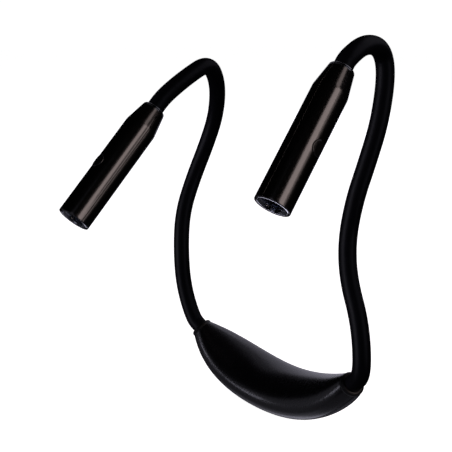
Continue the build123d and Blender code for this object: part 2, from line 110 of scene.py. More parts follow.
class NodeSheet:
    """A material's node tree, filled through one method."""

    def __init__(self, tree: bpy.types.NodeTree) -> None:
        """Keeps the tree and starts it empty."""
        self.tree = tree
        tree.nodes.clear()

    def node(
        self, kind: str, settings: dict[str, object], inputs: "dict[str | int, object]", output: int = 0
    ) -> Term:
        """Adds one node.

        Args:
            kind: The node's type.
            settings: Its own settings, which are set first.
            inputs: Values or terms for its sockets, by name or number.
            output: The number of the output that is returned.

        Returns:
            The chosen output.
        """
        made = self.tree.nodes.new(kind)
        for name, value in settings.items():
            setattr(made, name, value)
        for name, value in inputs.items():
            if isinstance(value, Term):
                self.tree.links.new(value.socket, made.inputs[name])
            else:
                made.inputs[name].default_value = value
        return Term(self, made.outputs[output] if len(made.outputs) else None)

    def here(self) -> Term:
        """The place on the piece, in metres."""
        return self.node("ShaderNodeTexCoord", {}, {}, OBJECT_PLACE)

    def stretched(self, scale: Triple, turn: Triple = (0.0, 0.0, 0.0)) -> Term:
        """The place on the piece, turned about each axis, in radians, and stretched along it."""
        inputs = {"Vector": self.here(), "Scale": scale, "Rotation": turn}
        return self.node("ShaderNodeMapping", {"vector_type": "POINT"}, inputs)

    def noise(
        self, pitch: float, detail: float = 2.0, place: "Term | None" = None, twist: float = 0.0
    ) -> Term:
        """Cloudy noise between 0 and 1.

        Args:
            pitch: The size of its clouds, in millimetres.
            detail: How many finer layers it has.
            place: Where it is read; the piece's own place if None.
            twist: How much it is distorted.

        Returns:
            The noise.
        """
        inputs = {
            "Vector": place or self.here(),
            "Scale": 1 / (pitch * MM),
            "Detail": detail,
            "Distortion": twist,
        }
        return self.node("ShaderNodeTexNoise", {}, inputs)

    def cells(self, pitch: float, feature: str = "F1") -> Term:
        """The distance that feature names inside scattered cells, their size in millimetres."""
        inputs = {"Vector": self.here(), "Scale": 1 / (pitch * MM)}
        return self.node("ShaderNodeTexVoronoi", {"feature": feature}, inputs)

    def blend(self, amount: "Term | float", low: "Term | Colour", high: "Term | Colour") -> Term:
        """Mixes two colours.

        Args:
            amount: 0 gives low and 1 gives high.
            low: The first colour.
            high: The second colour.

        Returns:
            The mixed colour.
        """
        inputs: dict[str | int, object] = {0: amount}
        for number, colour in ((MIX_LOW, low), (MIX_HIGH, high)):
            inputs[number] = colour if isinstance(colour, Term) else (*colour, 1.0)
        return self.node("ShaderNodeMix", {"data_type": "RGBA"}, inputs, MIX_COLOUR)

    def bump(self, height: Term, depth: float, under: "Term | None" = None) -> Term:
        """Turns a height into a normal.

        Args:
            height: The relief, from 0 to 1.
            depth: Its full depth, in millimetres.
            under: A normal that it adds to.

        Returns:
            The normal.
        """
        inputs: dict[str | int, object] = {"Height": height, "Distance": depth * MM, "Strength": 1.0}
        if under is not None:
            inputs["Normal"] = under
        return self.node("ShaderNodeBump", {}, inputs)


def coating(label: str, surface: Callable[[NodeSheet], dict[str, object]]) -> bpy.types.Material:
    """Makes a material of one shader.

    Args:
        label: The material's name.
        surface: Gives what goes into the shader's sockets, by name.

    Returns:
        The material.
    """
    made = bpy.data.materials.new(label)
    made.use_nodes = True
    sheet = NodeSheet(made.node_tree)
    shader = sheet.node("ShaderNodeBsdfPrincipled", {}, surface(sheet))
    sheet.node("ShaderNodeOutputMaterial", {}, {"Surface": shader})
    return made


# ---------------------------------------------------------------- finishes
@dataclass(frozen=True)
class Finish:
    """A finish: its material's name, its base colour and its mean roughness.

    In all finishes a pitch is the size of a pattern and a depth that of a relief, in millimetres.
    """

    name: str
    colour: Colour
    roughness: float

    def surface(self, sheet: NodeSheet) -> dict[str, object]:
        """What goes into the shader's sockets, by name."""
        raise NotImplementedError

    def shade(self, factor: float, lift: float = 0.0) -> Colour:
        """The base colour times a factor, with the same lift in each channel."""
        return tuple(factor * channel + lift for channel in self.colour)

    def material(self) -> bpy.types.Material:
        """The finish's material, made once."""
        label = f"{self.name}_finish"
        return bpy.data.materials.get(label) or coating(label, self.surface)


@dataclass(frozen=True)
class MouldedPlastic(Finish):
    """Moulded black plastic: fine spark grain, faint flow clouds and handling marks."""

    grain: float = 0.16
    depth: float = 0.006
    wear: float = 0.08
    specular: float = 0.5
    cloud_pitch: float = 14.0
    cloud_twist: float = 0.6
    mark_pitch: float = 3.0
    mark_detail: float = 6.0
    mark_stretch: Triple = (1.0, 1.0, 0.35)
    mark_turn: Triple = (0.4, 0.2, 0.0)
    swirl_pitch: float = 9.0
    swirl_depth: float = 3.0
    lighter: Place = (1.8, 0.0002)
    tint: Place = (0.5, 0.3)
    cloud_wear: float = 0.6
    mean_wear: float = 0.8

    def surface(self, sheet: NodeSheet) -> dict[str, object]:
        """Grain in the relief, clouds and marks in the roughness.

        Args:
            sheet: The material's sheet.

        Returns:
            Values and terms by socket name.
        """
        clouds = sheet.noise(self.cloud_pitch, 3.0, twist=self.cloud_twist)
        place = sheet.stretched(self.mark_stretch, self.mark_turn)
        marks = sheet.noise(self.mark_pitch, self.mark_detail, place)
        grain = sheet.noise(self.grain)
        swirl = sheet.noise(self.swirl_pitch, 1.0)
        tint = clouds * self.tint[0] + grain * self.tint[1]
        rough = clouds * (self.cloud_wear * self.wear) + marks * self.wear
        under = sheet.bump(swirl, self.swirl_depth * self.depth)
        return {
            "Base Color": sheet.blend(tint, self.colour, self.shade(*self.lighter)),
            "Roughness": rough + (self.roughness - self.mean_wear * self.wear),
            "Normal": sheet.bump(grain, self.depth, under),
            "Specular IOR Level": self.specular,
        }


@dataclass(frozen=True)
class Rubber(Finish):
    """Soft black sleeve rubber: bluish, powdery, with a matt grain and a few specks of dust."""

    bloom_pitch: float = 6.0
    bloom_twist: float = 0.8
    grain_pitch: float = 0.22
    grain_depth: float = 0.012
    swell_pitch: float = 2.5
    swell_depth: float = 0.03
    dust_pitch: float = 1.7
    dust_edge: Place = (0.055, 0.03)
    dust: Colour = (0.012, 0.012, 0.013)
    pale: float = 1.7
    uneven: Place = (0.12, 0.08)
    sheen: Place = (0.004, 0.45)

    def surface(self, sheet: NodeSheet) -> dict[str, object]:
        """Grain in the relief, bloom in the colour, dust on top of it.

        Args:
            sheet: The material's sheet.

        Returns:
            Values and terms by socket name.
        """
        bloom = sheet.noise(self.bloom_pitch, 4.0, twist=self.bloom_twist)
        grain = sheet.noise(self.grain_pitch, 3.0)
        clean = sheet.cells(self.dust_pitch).above(*self.dust_edge)
        colour = sheet.blend(bloom, self.colour, self.shade(self.pale))
        rough = bloom * self.uneven[0] + grain * self.uneven[1]
        under = sheet.bump(sheet.noise(self.swell_pitch), self.swell_depth)
        return {
            "Base Color": sheet.blend(clean, self.dust, colour),
            "Roughness": rough + (self.roughness - sum(self.uneven) / 2),
            "Normal": sheet.bump(grain, self.grain_depth, under),
            "Specular IOR Level": 0.5,
            "Sheen Weight": self.sheen[0],
            "Sheen Roughness": self.sheen[1],
        }


@dataclass(frozen=True)
class Metal(Finish):
    """Metal with a lengthways or turned brushing."""

    stretch: Triple = (1.0, 1.0, 0.05)
    grain: float = 0.12
    depth: float = 0.004
    cloud_pitch: float = 2.4
    tarnish: float = 0.72
    uneven: Place = (0.12, 0.08)
    mean_uneven: float = 0.08

    def surface(self, sheet: NodeSheet) -> dict[str, object]:
        """Brushing in the relief and the roughness, tarnish in the colour.

        Args:
            sheet: The material's sheet.

        Returns:
            Values and terms by socket name.
        """
        brush = sheet.noise(self.grain, 3.0, sheet.stretched(self.stretch))
        cloud = sheet.noise(self.cloud_pitch, 3.0)
        rough = brush * self.uneven[0] + cloud * self.uneven[1]
        return {
            "Base Color": sheet.blend(cloud, self.shade(self.tarnish), self.colour),
            "Metallic": 1.0,
            "Roughness": rough + (self.roughness - self.mean_uneven),
            "Normal": sheet.bump(brush, self.depth),
        }


@dataclass(frozen=True)
class Foil(Finish):
    """The pouch cell's crinkled foil."""

    crease_pitch: float = 4.0
    crease_twist: float = 1.4
    crease_depth: float = 0.25
    fine_pitch: float = 0.9
    fine_edge: Place = (0.06, 0.1)
    fine_depth: float = 0.02
    # How dark the painted shade in the creases' hollows is.
    dull: float = 0.7
    uneven: float = 0.25
    mean_uneven: float = 0.1
    metal: float = 0.85

    def surface(self, sheet: NodeSheet) -> dict[str, object]:
        """Creases in the relief and a soft sheen in the roughness, with painted shade in the creases'
        hollows.

        Args:
            sheet: The material's sheet.

        Returns:
            Values and terms by socket name.
        """
        crease = sheet.noise(self.crease_pitch, 5.0, twist=self.crease_twist)
        fine = sheet.cells(self.fine_pitch, "DISTANCE_TO_EDGE").above(*self.fine_edge)
        return {
            # Painted shade: the colour goes darker, by the factor dull, where the crease relief is low.
            "Base Color": sheet.blend(crease, self.shade(self.dull), self.colour),
            "Metallic": self.metal,
            "Roughness": crease * self.uneven + (self.roughness - self.mean_uneven),
            "Normal": sheet.bump(fine, self.fine_depth, sheet.bump(crease, self.crease_depth)),
        }


@dataclass(frozen=True)
class Board(Finish):
    """A circuit board's lacquer with its tracks and pads."""

    pad: Colour = (0.62, 0.5, 0.24)
    pitch: float = 1.3
    track_edge: Place = (0.1, 0.03)
    pad_pitch: float = 2.6
    pad_edge: Place = (0.16, 0.02)
    lacquer: Place = (1.5, 0.01)
    haze_pitch: float = 0.8
    haze: float = 0.1
    pad_metal: float = 0.9
    depth: float = 0.03

    def surface(self, sheet: NodeSheet) -> dict[str, object]:
        """Tracks stand proud of the lacquer and pads show metal.

        Args:
            sheet: The material's sheet.

        Returns:
            Values and terms by socket name.
        """
        tracks = sheet.cells(self.pitch, "DISTANCE_TO_EDGE").above(*self.track_edge)
        pads = 1 - sheet.cells(self.pad_pitch).above(*self.pad_edge)
        lacquer = sheet.blend(tracks, self.shade(*self.lacquer), self.colour)
        return {
            "Base Color": sheet.blend(pads, lacquer, self.pad),
            "Metallic": pads * self.pad_metal,
            "Roughness": self.roughness - pads * self.haze + sheet.noise(self.haze_pitch) * self.haze,
            "Normal": sheet.bump(1 - tracks, self.depth),
        }


@dataclass(frozen=True)
class CoilSteel(Finish):
    """The bendable core: wound steel wire."""

    turn: float = 1.1
    wave: float = 6.283
    twist: float = 0.2
    # How dark the painted shade in the grooves between the turns is.
    dark: float = 0.3
    depth: float = 0.25
    dull_pitch: float = 1.5
    uneven: float = 0.2

    def surface(self, sheet: NodeSheet) -> dict[str, object]:
        """Turns in the relief, with painted shade in the grooves between them.

        Args:
            sheet: The material's sheet.

        Returns:
            Values and terms by socket name.
        """
        inputs = {
            "Vector": sheet.here(),
            "Scale": 1 / (self.turn * MM) / self.wave,
            "Distortion": self.twist,
        }
        settings = {"wave_type": "BANDS", "bands_direction": "Z", "wave_profile": "SIN"}
        turns = sheet.node("ShaderNodeTexWave", settings, inputs)
        return {
            # Painted shade: the colour goes darker, by the factor dark, in the grooves between the turns.
            "Base Color": sheet.blend(turns, self.shade(self.dark), self.colour),
            "Metallic": 1.0,
            "Roughness": sheet.noise(self.dull_pitch) * self.uneven + (self.roughness - self.uneven / 2),
            "Normal": sheet.bump(turns, self.depth),
        }


@dataclass(frozen=True)
class FacetMirror(Finish):
    """The reflector cup's plated mirror with its small facets."""

    facet_pitch: float = 1.4
    facet_depth: float = 0.16
    breath_pitch: float = 3.0
    breath: Place = (0.1, 0.03)
    dull: float = 0.85

    def surface(self, sheet: NodeSheet) -> dict[str, object]:
        """Facets in the relief, breath marks in the roughness.

        Args:
            sheet: The material's sheet.

        Returns:
            Values and terms by socket name.
        """
        facets = sheet.cells(self.facet_pitch, "SMOOTH_F1")
        breath = sheet.noise(self.breath_pitch, 4.0)
        return {
            "Base Color": sheet.blend(breath, self.shade(self.dull), self.colour),
            "Metallic": 1.0,
            "Roughness": breath * self.breath[0] + (self.roughness - self.breath[1]),
            "Normal": sheet.bump(facets, self.facet_depth),
        }


@dataclass(frozen=True)
class ClearPlastic(Finish):
    """The clear lens, with a faint moulding ripple."""

    haze_pitch: float = 1.1
    haze: Place = (0.06, 0.02)
    ripple_pitch: float = 2.8
    ripple_depth: float = 0.02
    bending: float = 1.49

    def surface(self, sheet: NodeSheet) -> dict[str, object]:
        """Ripple in the relief, haze in the roughness.

        Args:
            sheet: The material's sheet.

        Returns:
            Values and terms by socket name.
        """
        haze = sheet.noise(self.haze_pitch, 4.0)
        return {
            "Base Color": (*self.colour, 1.0),
            "Transmission Weight": 1.0,
            "IOR": self.bending,
            "Roughness": haze * self.haze[0] + (self.roughness - self.haze[1]),
            "Normal": sheet.bump(sheet.noise(self.ripple_pitch), self.ripple_depth),
        }


class Look(Enum):
    """The light's finishes, by the record's material slots."""

    POD_PLASTIC = MouldedPlastic(
        "pod_plastic", (0.0008, 0.0007, 0.0012), 0.27, grain=0.25, depth=0.0003
    )
    COLLAR_PLASTIC = MouldedPlastic(
        "collar_plastic", (0.0008, 0.0006, 0.0006), 0.45, depth=0.001, specular=0.2
    )
    HEAD_PLASTIC = MouldedPlastic(
        "head_plastic", (0.0003, 0.0003, 0.0003), 0.19, grain=0.1, depth=0.0003, wear=0.04
    )
    BUTTON_PLASTIC = MouldedPlastic(
        "button_plastic", (0.0012, 0.0012, 0.0013), 0.25, grain=0.14, depth=0.001
    )
    SWITCH_PLASTIC = MouldedPlastic("switch_plastic", (0.02, 0.02, 0.022), 0.5)
    ARM_RUBBER = Rubber("arm_rubber", (0.0085, 0.008, 0.0125), 0.42)
    WIRE_INSULATION = MouldedPlastic("wire_insulation", (0.32, 0.015, 0.012), 0.35, depth=0.003)
    LAMP_CHIP = MouldedPlastic("lamp_chip", (0.78, 0.76, 0.7), 0.5, grain=0.1, depth=0.004)
    LAMP_GLOW = MouldedPlastic("lamp_window", (0.85, 0.62, 0.08), 0.35, grain=0.08, depth=0.006)
    ARM_CORE = CoilSteel("arm_core", (0.5, 0.5, 0.52), 0.35)
    RING_STEEL = Metal("ring_steel", (0.58, 0.58, 0.6), 0.3)
    BEZEL_CHROME = Metal("bezel_chrome", (0.72, 0.73, 0.76), 0.14, grain=0.3, depth=0.001)
    REFLECTOR_MIRROR = FacetMirror("reflector_mirror", (0.11, 0.12, 0.15), 0.1)
    LENS_CLEAR = ClearPlastic("lens_clear", (0.55, 0.62, 0.76), 0.03)
    LAMP_BOARD = Board("lamp_board", (0.2, 0.2, 0.2), 0.4, pad=(0.5, 0.42, 0.25), pitch=2.2)
    CIRCUIT_BOARD = Board("circuit_board", (0.008, 0.06, 0.022), 0.35)
    CELL_FOIL = Foil("cell_foil", (0.55, 0.56, 0.58), 0.38)

    def coat(self, piece: bpy.types.Object) -> None:
        """Gives a piece this finish in place of what it has."""
        piece.data.materials.clear()
        piece.data.materials.append(self.value.material())

    def paint(self, *pieces: bpy.types.Object) -> None:
        """Gives pieces this finish.

        Args:
            pieces: The pieces.
        """
        for piece in pieces:
            self.coat(piece)


# ---------------------------------------------------------------- mesh work
Ring = Sequence[bmesh.types.BMVert]

# A rounded edge from its side to its floor: (out, down) pairs, in shares of its radius.
EDGE_ARC = ((1.0, 0.0), (0.62, 0.08), (0.29, 0.29), (0.08, 0.62), (0.0, 1.0))
# How far large flat faces rule the shading at their edges.
FLAT_WEIGHT = 80
# Points round a peg, and round a collar, a lens ring or a lens.
PEG_SIDES = 32
RING_SIDES = 96
# Steps from a hole's window to its edge, in shares of the way.
HOLE_SHARES = (0.3, 0.6, 0.82, 0.95, 1.0)
# Half the gap between two shells that meet, in millimetres.
JOIN = 0.005


def show(name: str, data: bpy.types.ID) -> bpy.types.Object:
    """Links a mesh, a curve, a light or a camera to the scene, at the origin.

    Args:
        name: The object's name.
        data: Its data; a piece's mesh is already in the part's frame.

    Returns:
        The object.
    """
    piece = bpy.data.objects.new(name, data)
    bpy.context.scene.collection.objects.link(piece)
    return piece


def finished(name: str, work: bmesh.types.BMesh, place: Matrix, crease: float = 38.0) -> bpy.types.Object:
    """Turns closed mesh work into a smooth piece whose flat faces stay flat.

    Args:
        name: The piece's name.
        work: The closed mesh, in millimetres in its own frame. It is freed.
        place: Its own frame in the part's frame, in metres.
        crease: The angle above which an edge stays sharp.

    Returns:
        The piece.
    """
    bmesh.ops.recalc_face_normals(work, faces=work.faces)
    mesh = bpy.data.meshes.new(name)
    work.to_mesh(mesh)
    work.free()
    mesh.transform(place @ Matrix.Scale(MM, 4))
    mesh.shade_smooth()
    mesh.set_sharp_from_angle(angle=math.radians(crease))
    piece = show(name, mesh)
    weighted = piece.modifiers.new("flats", "WEIGHTED_NORMAL")
    weighted.keep_sharp = True
    weighted.weight = FLAT_WEIGHT
    return settled(piece)


def settled(piece: bpy.types.Object) -> bpy.types.Object:
    """Turns a piece's modifiers into plain mesh.

    Args:
        piece: The piece.

    Returns:
        The piece, with no modifier left.
    """
    graph = bpy.context.evaluated_depsgraph_get()
    mesh = bpy.data.meshes.new_from_object(piece.evaluated_get(graph), depsgraph=graph)
    mesh.name = piece.name
    if piece.type == "MESH":
        piece.modifiers.clear()
        piece.data = mesh
        return piece
    name = piece.name
    bpy.data.objects.remove(piece)
    made = show(name, mesh)
    made.name = name
    return made


def rounded(corners: Sequence[Triple], steps: int = 4) -> list[Place]:
    """Rounds the corners of a closed outline.

    Args:
        corners: The corners, each with its rounding radius.
        steps: Runs in each rounding.

    Returns:
        The outline's points.
    """
    points: list[Place] = []
    for number, (x, y, radius) in enumerate(corners):
        here = Vector((x, y))
        if radius <= 0:
            points.append((x, y))
            continue
        before = (Vector(corners[number - 1][:2]) - here).normalized()
        after = (Vector(corners[(number + 1) % len(corners)][:2]) - here).normalized()
        half = before.angle(after) / 2
        reach = radius / math.tan(half)
        weight = math.sin(half)
        for step in range(steps + 1):
            k = step / steps
            parts = ((1 - k) ** 2, 2 * weight * k * (1 - k), k * k)
            spot = (here + before * reach) * parts[0] + here * parts[1] + (here + after * reach) * parts[2]
            points.append(tuple(spot / sum(parts)))
    return points


def turned(work: bmesh.types.BMesh, outline: Sequence[Place], sides: int, closed: bool = True) -> None:
    """Adds a turned solid about Z.

    Args:
        work: The mesh that it is added to.
        outline: (radius, height) points; a radius of 0 is a pole.
        sides: Points round the axis.
        closed: Whether the last point joins the first.
    """
    rings = []
    for radius, height in outline:
        if radius <= 0.0:
            rings.append([work.verts.new((0.0, 0.0, height))] * sides)
            continue
        angles = (2 * math.pi * number / sides for number in range(sides))
        rings.append([work.verts.new((radius * math.cos(a), radius * math.sin(a), height)) for a in angles])
    for low, high in zip(rings, rings[1:] + (rings[:1] if closed else [])):
        bridge(work, low, high)


def bridge(work: bmesh.types.BMesh, low: Ring, high: Ring) -> None:
    """Joins two closed rings of the same count, either of which may be one point.

    Args:
        work: The mesh that they are in.
        low: One ring.
        high: The other ring.
    """
    count = len(low)
    for number in range(count):
        after = (number + 1) % count
        corners = [low[number], low[after], high[after], high[number]]
        unique = list(dict.fromkeys(corners))
        if len(unique) > 2:
            work.faces.new(unique)


def block(work: bmesh.types.BMesh, low: Triple, high: Triple) -> None:
    """Adds a box between two corners.

    Args:
        work: The mesh that it is added to.
        low: One corner.
        high: The other corner.
    """
    middle = [(a + b) / 2 for a, b in zip(low, high)]
    size = [b - a for a, b in zip(low, high)]
    cube = Matrix.Translation(middle) @ Matrix.Diagonal((*size, 1.0))
    bmesh.ops.create_cube(work, size=1.0, matrix=cube)


def peg(work: bmesh.types.BMesh, foot: Vector, top: Vector, radius: float) -> None:
    """Adds a round peg.

    Args:
        work: The mesh that it is added to.
        foot: Where it stands.
        top: Where it ends.
        radius: Its radius.
    """
    along = top - foot
    place = Matrix.Translation(foot + along / 2) @ along.to_track_quat("Z", "Y").to_matrix().to_4x4()
    sizes = {"radius1": radius, "radius2": radius, "depth": along.length}
    bmesh.ops.create_cone(work, cap_ends=True, segments=PEG_SIDES, matrix=place, **sizes)


@dataclass(frozen=True)
class Hole:
    """A hole with rounded corners, inside a window of a skin's rows and columns."""

    rows: tuple[int, int]
    cols: tuple[int, int]
    centre: Place
    half: Place
    corner: float

    def loop(self) -> list[tuple[int, int]]:
        """The window's edge, once round.

        Returns:
            The rows and columns of its points.
        """
        (top, bottom), (left, right) = self.rows, self.cols
        edge = [(top, col) for col in range(left, right)]
        edge += [(row, right) for row in range(top, bottom)]
        edge += [(bottom, col) for col in range(right, left, -1)]
        return edge + [(row, left) for row in range(bottom, top, -1)]

    def swallows(self, row: int, col: int) -> bool:
        """Whether a grid point is inside the window."""
        return self.rows[0] < row < self.rows[1] and self.cols[0] < col < self.cols[1]

    def covers(self, row: int, col: int) -> bool:
        """Whether a grid cell is inside the window."""
        return self.rows[0] <= row < self.rows[1] and self.cols[0] <= col < self.cols[1]

    def spot(self, place: Place, grow: float) -> Place:
        """The point of the hole's edge that faces a place.

        Args:
            place: A place on the flat plan, outside the hole.
            grow: How far outside its own edge the point lies.

        Returns:
            The point on the plan.
        """
        away = [place[axis] - self.centre[axis] for axis in (0, 1)]
        half = [size + grow for size in self.half]
        corner = self.corner + grow
        scale = max(abs(away[axis]) / half[axis] for axis in (0, 1))
        edge = [value / scale for value in away]
        inner = [size - corner for size in half]
        over = Vector([abs(edge[axis]) - inner[axis] for axis in (0, 1)])
        if over.x > 0 and over.y > 0:
            over = over.normalized() * corner
            edge = [math.copysign(inner[axis] + over[axis], edge[axis]) for axis in (0, 1)]
        return (self.centre[0] + edge[0], self.centre[1] + edge[1])


class Skin:
    """One side of a wall: rows and columns of points, and a flat plan on which its hole is drawn."""

    rows: int
    cols: int

    def point(self, row: int, col: int) -> Vector:
        """The grid point."""
        raise NotImplementedError

    def plan(self, row: int, col: int) -> Place:
        """The grid point's place on the plan."""
        raise NotImplementedError

    def lift(self, place: Place, inset: float = 0.0) -> Vector:
        """The point of the skin, or of the skin drawn in by inset, over a place on the plan."""
        raise NotImplementedError


def wall(
    outer: Skin,
    inner: Skin,
    rim: Callable[[int, int], list[Vector]],
    hole: "Hole | None" = None,
    hole_round: float = 0.15,
) -> bmesh.types.BMesh:
    """Builds a wall between two skins, closed at its ends, its long rims and its hole.

    Args:
        outer: The outer skin.
        inner: The inner skin, with the same rows and columns.
        rim: Gives the points between the skins at a row's first or last column.
        hole: The hole through the wall.
        hole_round: The rounding of the hole's outer edge.

    Returns:
        The closed mesh.
    """
    work = bmesh.new()
    grids, hole_rings = [], []
    for skin in (outer, inner):
        grid = {
            (row, col): work.verts.new(skin.point(row, col))
            for row in range(skin.rows)
            for col in range(skin.cols)
            if hole is None or not hole.swallows(row, col)
        }
        for row in range(skin.rows - 1):
            for col in range(skin.cols - 1):
                if hole is None or not hole.covers(row, col):
                    cell = ((row, col), (row + 1, col), (row + 1, col + 1), (row, col + 1))
                    work.faces.new([grid[spot] for spot in cell])
        grids.append(grid)
        if hole is None:
            continue
        ring = [grid[spot] for spot in hole.loop()]
        plans = [skin.plan(*spot) for spot in hole.loop()]
        grow = hole_round if skin is outer else 0.0
        targets = [hole.spot(outer.plan(*spot), grow) for spot in hole.loop()]
        for share in HOLE_SHARES:
            places = [tuple(a + (b - a) * share for a, b in zip(*pair)) for pair in zip(plans, targets)]
            following = [work.verts.new(skin.lift(place)) for place in places]
            bridge(work, ring, following)
            ring = following
        hole_rings.append(ring)
    if hole is not None:
        ring = hole_rings[0]
        for out, down in EDGE_ARC[1:]:
            places = [hole.spot(outer.plan(*spot), hole_round * out) for spot in hole.loop()]
            following = [work.verts.new(outer.lift(place, hole_round * down)) for place in places]
            bridge(work, ring, following)
            ring = following
        bridge(work, ring, hole_rings[1])
    over, under = grids
    last = outer.cols - 1
    chains: dict[tuple[int, int], list[bmesh.types.BMVert]] = {}
    for row in range(outer.rows):
        for side, col in ((0, 0), (1, last)):
            between = [work.verts.new(point) for point in rim(row, side)]
            chains[row, side] = [over[row, col], *between, under[row, col]]
    for row in range(outer.rows - 1):
        for side in (0, 1):
            here, following = chains[row, side], chains[row + 1, side]
            for number in range(len(here) - 1):
                work.faces.new((here[number], here[number + 1], following[number + 1], following[number]))
    for row in (0, outer.rows - 1):
        for col in range(last):
            corners = [over[row, col], over[row, col + 1]]
            if col == last - 1:
                corners += chains[row, 1][1:]
            else:
                corners.append(under[row, col + 1])
            corners.append(under[row, col])
            if col == 0:
                corners += chains[row, 0][-2:0:-1]
            work.faces.new(corners)
    return work


# ---------------------------------------------------------------- geometry nodes
class PartTree:
    """A geometry node tree, built from its tables, that ends in real mesh with a material."""

    label: str
    ends: tuple[str, str]
    inputs: tuple[tuple[str, str], ...]
    kinds: tuple[tuple[str, str], ...]
    joins: tuple[tuple[str, str, str, str], ...]
    modes: tuple[tuple[str, str], ...] = ()

    def __init__(self) -> None:
        """Builds the tree and keeps its nodes and its inputs' identifiers."""
        self.tree = bpy.data.node_groups.new(self.label, "GeometryNodeTree")
        face = self.tree.interface
        start, end = self.ends
        face.new_socket(name=start, in_out="INPUT", socket_type="NodeSocketGeometry")
        self.sockets = {
            name: face.new_socket(name=name, in_out="INPUT", socket_type=f"NodeSocket{kind}").identifier
            for name, kind in self.inputs
        }
        face.new_socket(name=end, in_out="OUTPUT", socket_type="NodeSocketGeometry")
        kinds = (
            ("given", "NodeGroupInput"),
            ("result", "NodeGroupOutput"),
            *self.kinds,
            ("real", "GeometryNodeRealizeInstances"),
            ("skin", "GeometryNodeSetMaterial"),
        )
        joins = (
            *self.joins,
            ("real", "Geometry", "skin", "Geometry"),
            ("given", "Material", "skin", "Material"),
            ("skin", "Geometry", "result", end),
        )
        self.nodes = {name: self.tree.nodes.new(kind) for name, kind in kinds}
        for name, mode in self.modes:
            self.nodes[name].mode = mode
        for source, output, target, socket in joins:
            self.tree.links.new(self.nodes[source].outputs[output], self.nodes[target].inputs[socket])

    def run(self, piece: bpy.types.Object, *values: object) -> bpy.types.Object:
        """Runs the tree on a piece.

        Args:
            piece: The piece.
            values: What goes into the tree's inputs, in order.

        Returns:
            The piece, as a plain mesh.
        """
        modifier = piece.modifiers.new(self.label, "NODES")
        modifier.node_group = self.tree
        for (name, _), value in zip(self.inputs, values):
            modifier[self.sockets[name]] = value
        return settled(piece)


class PathTube(PartTree):
    """A node tree that draws a tube along a curve: a bendable sleeve or its core."""

    label = "path_tube"
    ends = ("Path", "Tube")
    inputs = (
        ("Radius", "Float"),
        ("Sides", "Int"),
        ("Step", "Float"),
        ("Caps", "Bool"),
        ("Material", "Material"),
    )
    kinds = (
        ("steps", "GeometryNodeResampleCurve"),
        ("circle", "GeometryNodeCurvePrimitiveCircle"),
        ("tube", "GeometryNodeCurveToMesh"),
    )
    joins = (
        ("given", "Path", "steps", "Curve"),
        ("given", "Step", "steps", "Length"),
        ("given", "Sides", "circle", "Resolution"),
        ("given", "Radius", "circle", "Radius"),
        ("steps", "Curve", "tube", "Curve"),
        ("circle", "Curve", "tube", "Profile Curve"),
        ("given", "Caps", "tube", "Fill Caps"),
        ("tube", "Mesh", "real", "Geometry"),
    )
    modes = (("steps", "LENGTH"),)
    step: float = 0.9
    order: int = 3
    runs: int = 24

    def draw(
        self, name: str, points: Sequence[Vector], radius: float, sides: int, caps: bool, look: Look
    ) -> bpy.types.Object:
        """Draws one tube.

        Args:
            name: The piece's name.
            points: The control points of its smooth line, in metres.
            radius: The tube's radius, in metres.
            sides: Points round it.
            caps: Whether its ends are closed.
            look: Its finish.

        Returns:
            The piece, as a plain mesh.
        """
        curve = bpy.data.curves.new(name, "CURVE")
        curve.dimensions = "3D"
        spline = curve.splines.new("NURBS")
        spline.points.add(len(points) - 1)
        for spot, point in zip(spline.points, points):
            spot.co = (*point, 1.0)
        spline.order_u = self.order
        spline.use_endpoint_u = True
        spline.resolution_u = self.runs
        return self.run(show(name, curve), radius, sides, self.step * MM, caps, look.value.material())


class RingOfItems(PartTree):
    """A node tree that sets one item at equal steps on a ring."""

    label = "ring_of_items"
    ends = ("Geometry", "Items")
    inputs = (("Count", "Int"), ("Radius", "Float"), ("Item", "Object"), ("Material", "Material"))
    kinds = (
        ("ring", "GeometryNodeMeshCircle"),
        ("turn", "GeometryNodeTransform"),
        ("item", "GeometryNodeObjectInfo"),
        ("spread", "GeometryNodeInstanceOnPoints"),
    )
    joins = (
        ("given", "Count", "ring", "Vertices"),
        ("given", "Radius", "ring", "Radius"),
        ("ring", "Mesh", "turn", "Geometry"),
        ("turn", "Geometry", "spread", "Points"),
        ("given", "Item", "item", "Object"),
        ("item", "Geometry", "spread", "Instance"),
        ("spread", "Instances", "real", "Geometry"),
    )

    def __init__(self) -> None:
        """Builds the tree, with the first item on the ring's Y axis."""
        super().__init__()
        self.nodes["turn"].inputs["Rotation"].default_value = (0.0, 0.0, math.pi / 2)

    def spread(
        self, name: str, item: bpy.types.Object, count: int, radius: float, place: Matrix, look: Look
    ) -> bpy.types.Object:
        """Sets an item round a ring.

        Args:
            name: The piece's name.
            item: The item, in millimetres at the origin. It is removed afterwards.
            count: How many there are.
            radius: The ring's radius, in millimetres.
            place: The ring's frame in the part's frame, in metres.
            look: Their finish.

        Returns:
            The piece, as a plain mesh.
        """
        host = self.run(show(name, bpy.data.meshes.new(name)), count, radius, item, look.value.material())
        host.data.transform(place @ Matrix.Scale(MM, 4))
        bpy.data.objects.remove(item)
        return host


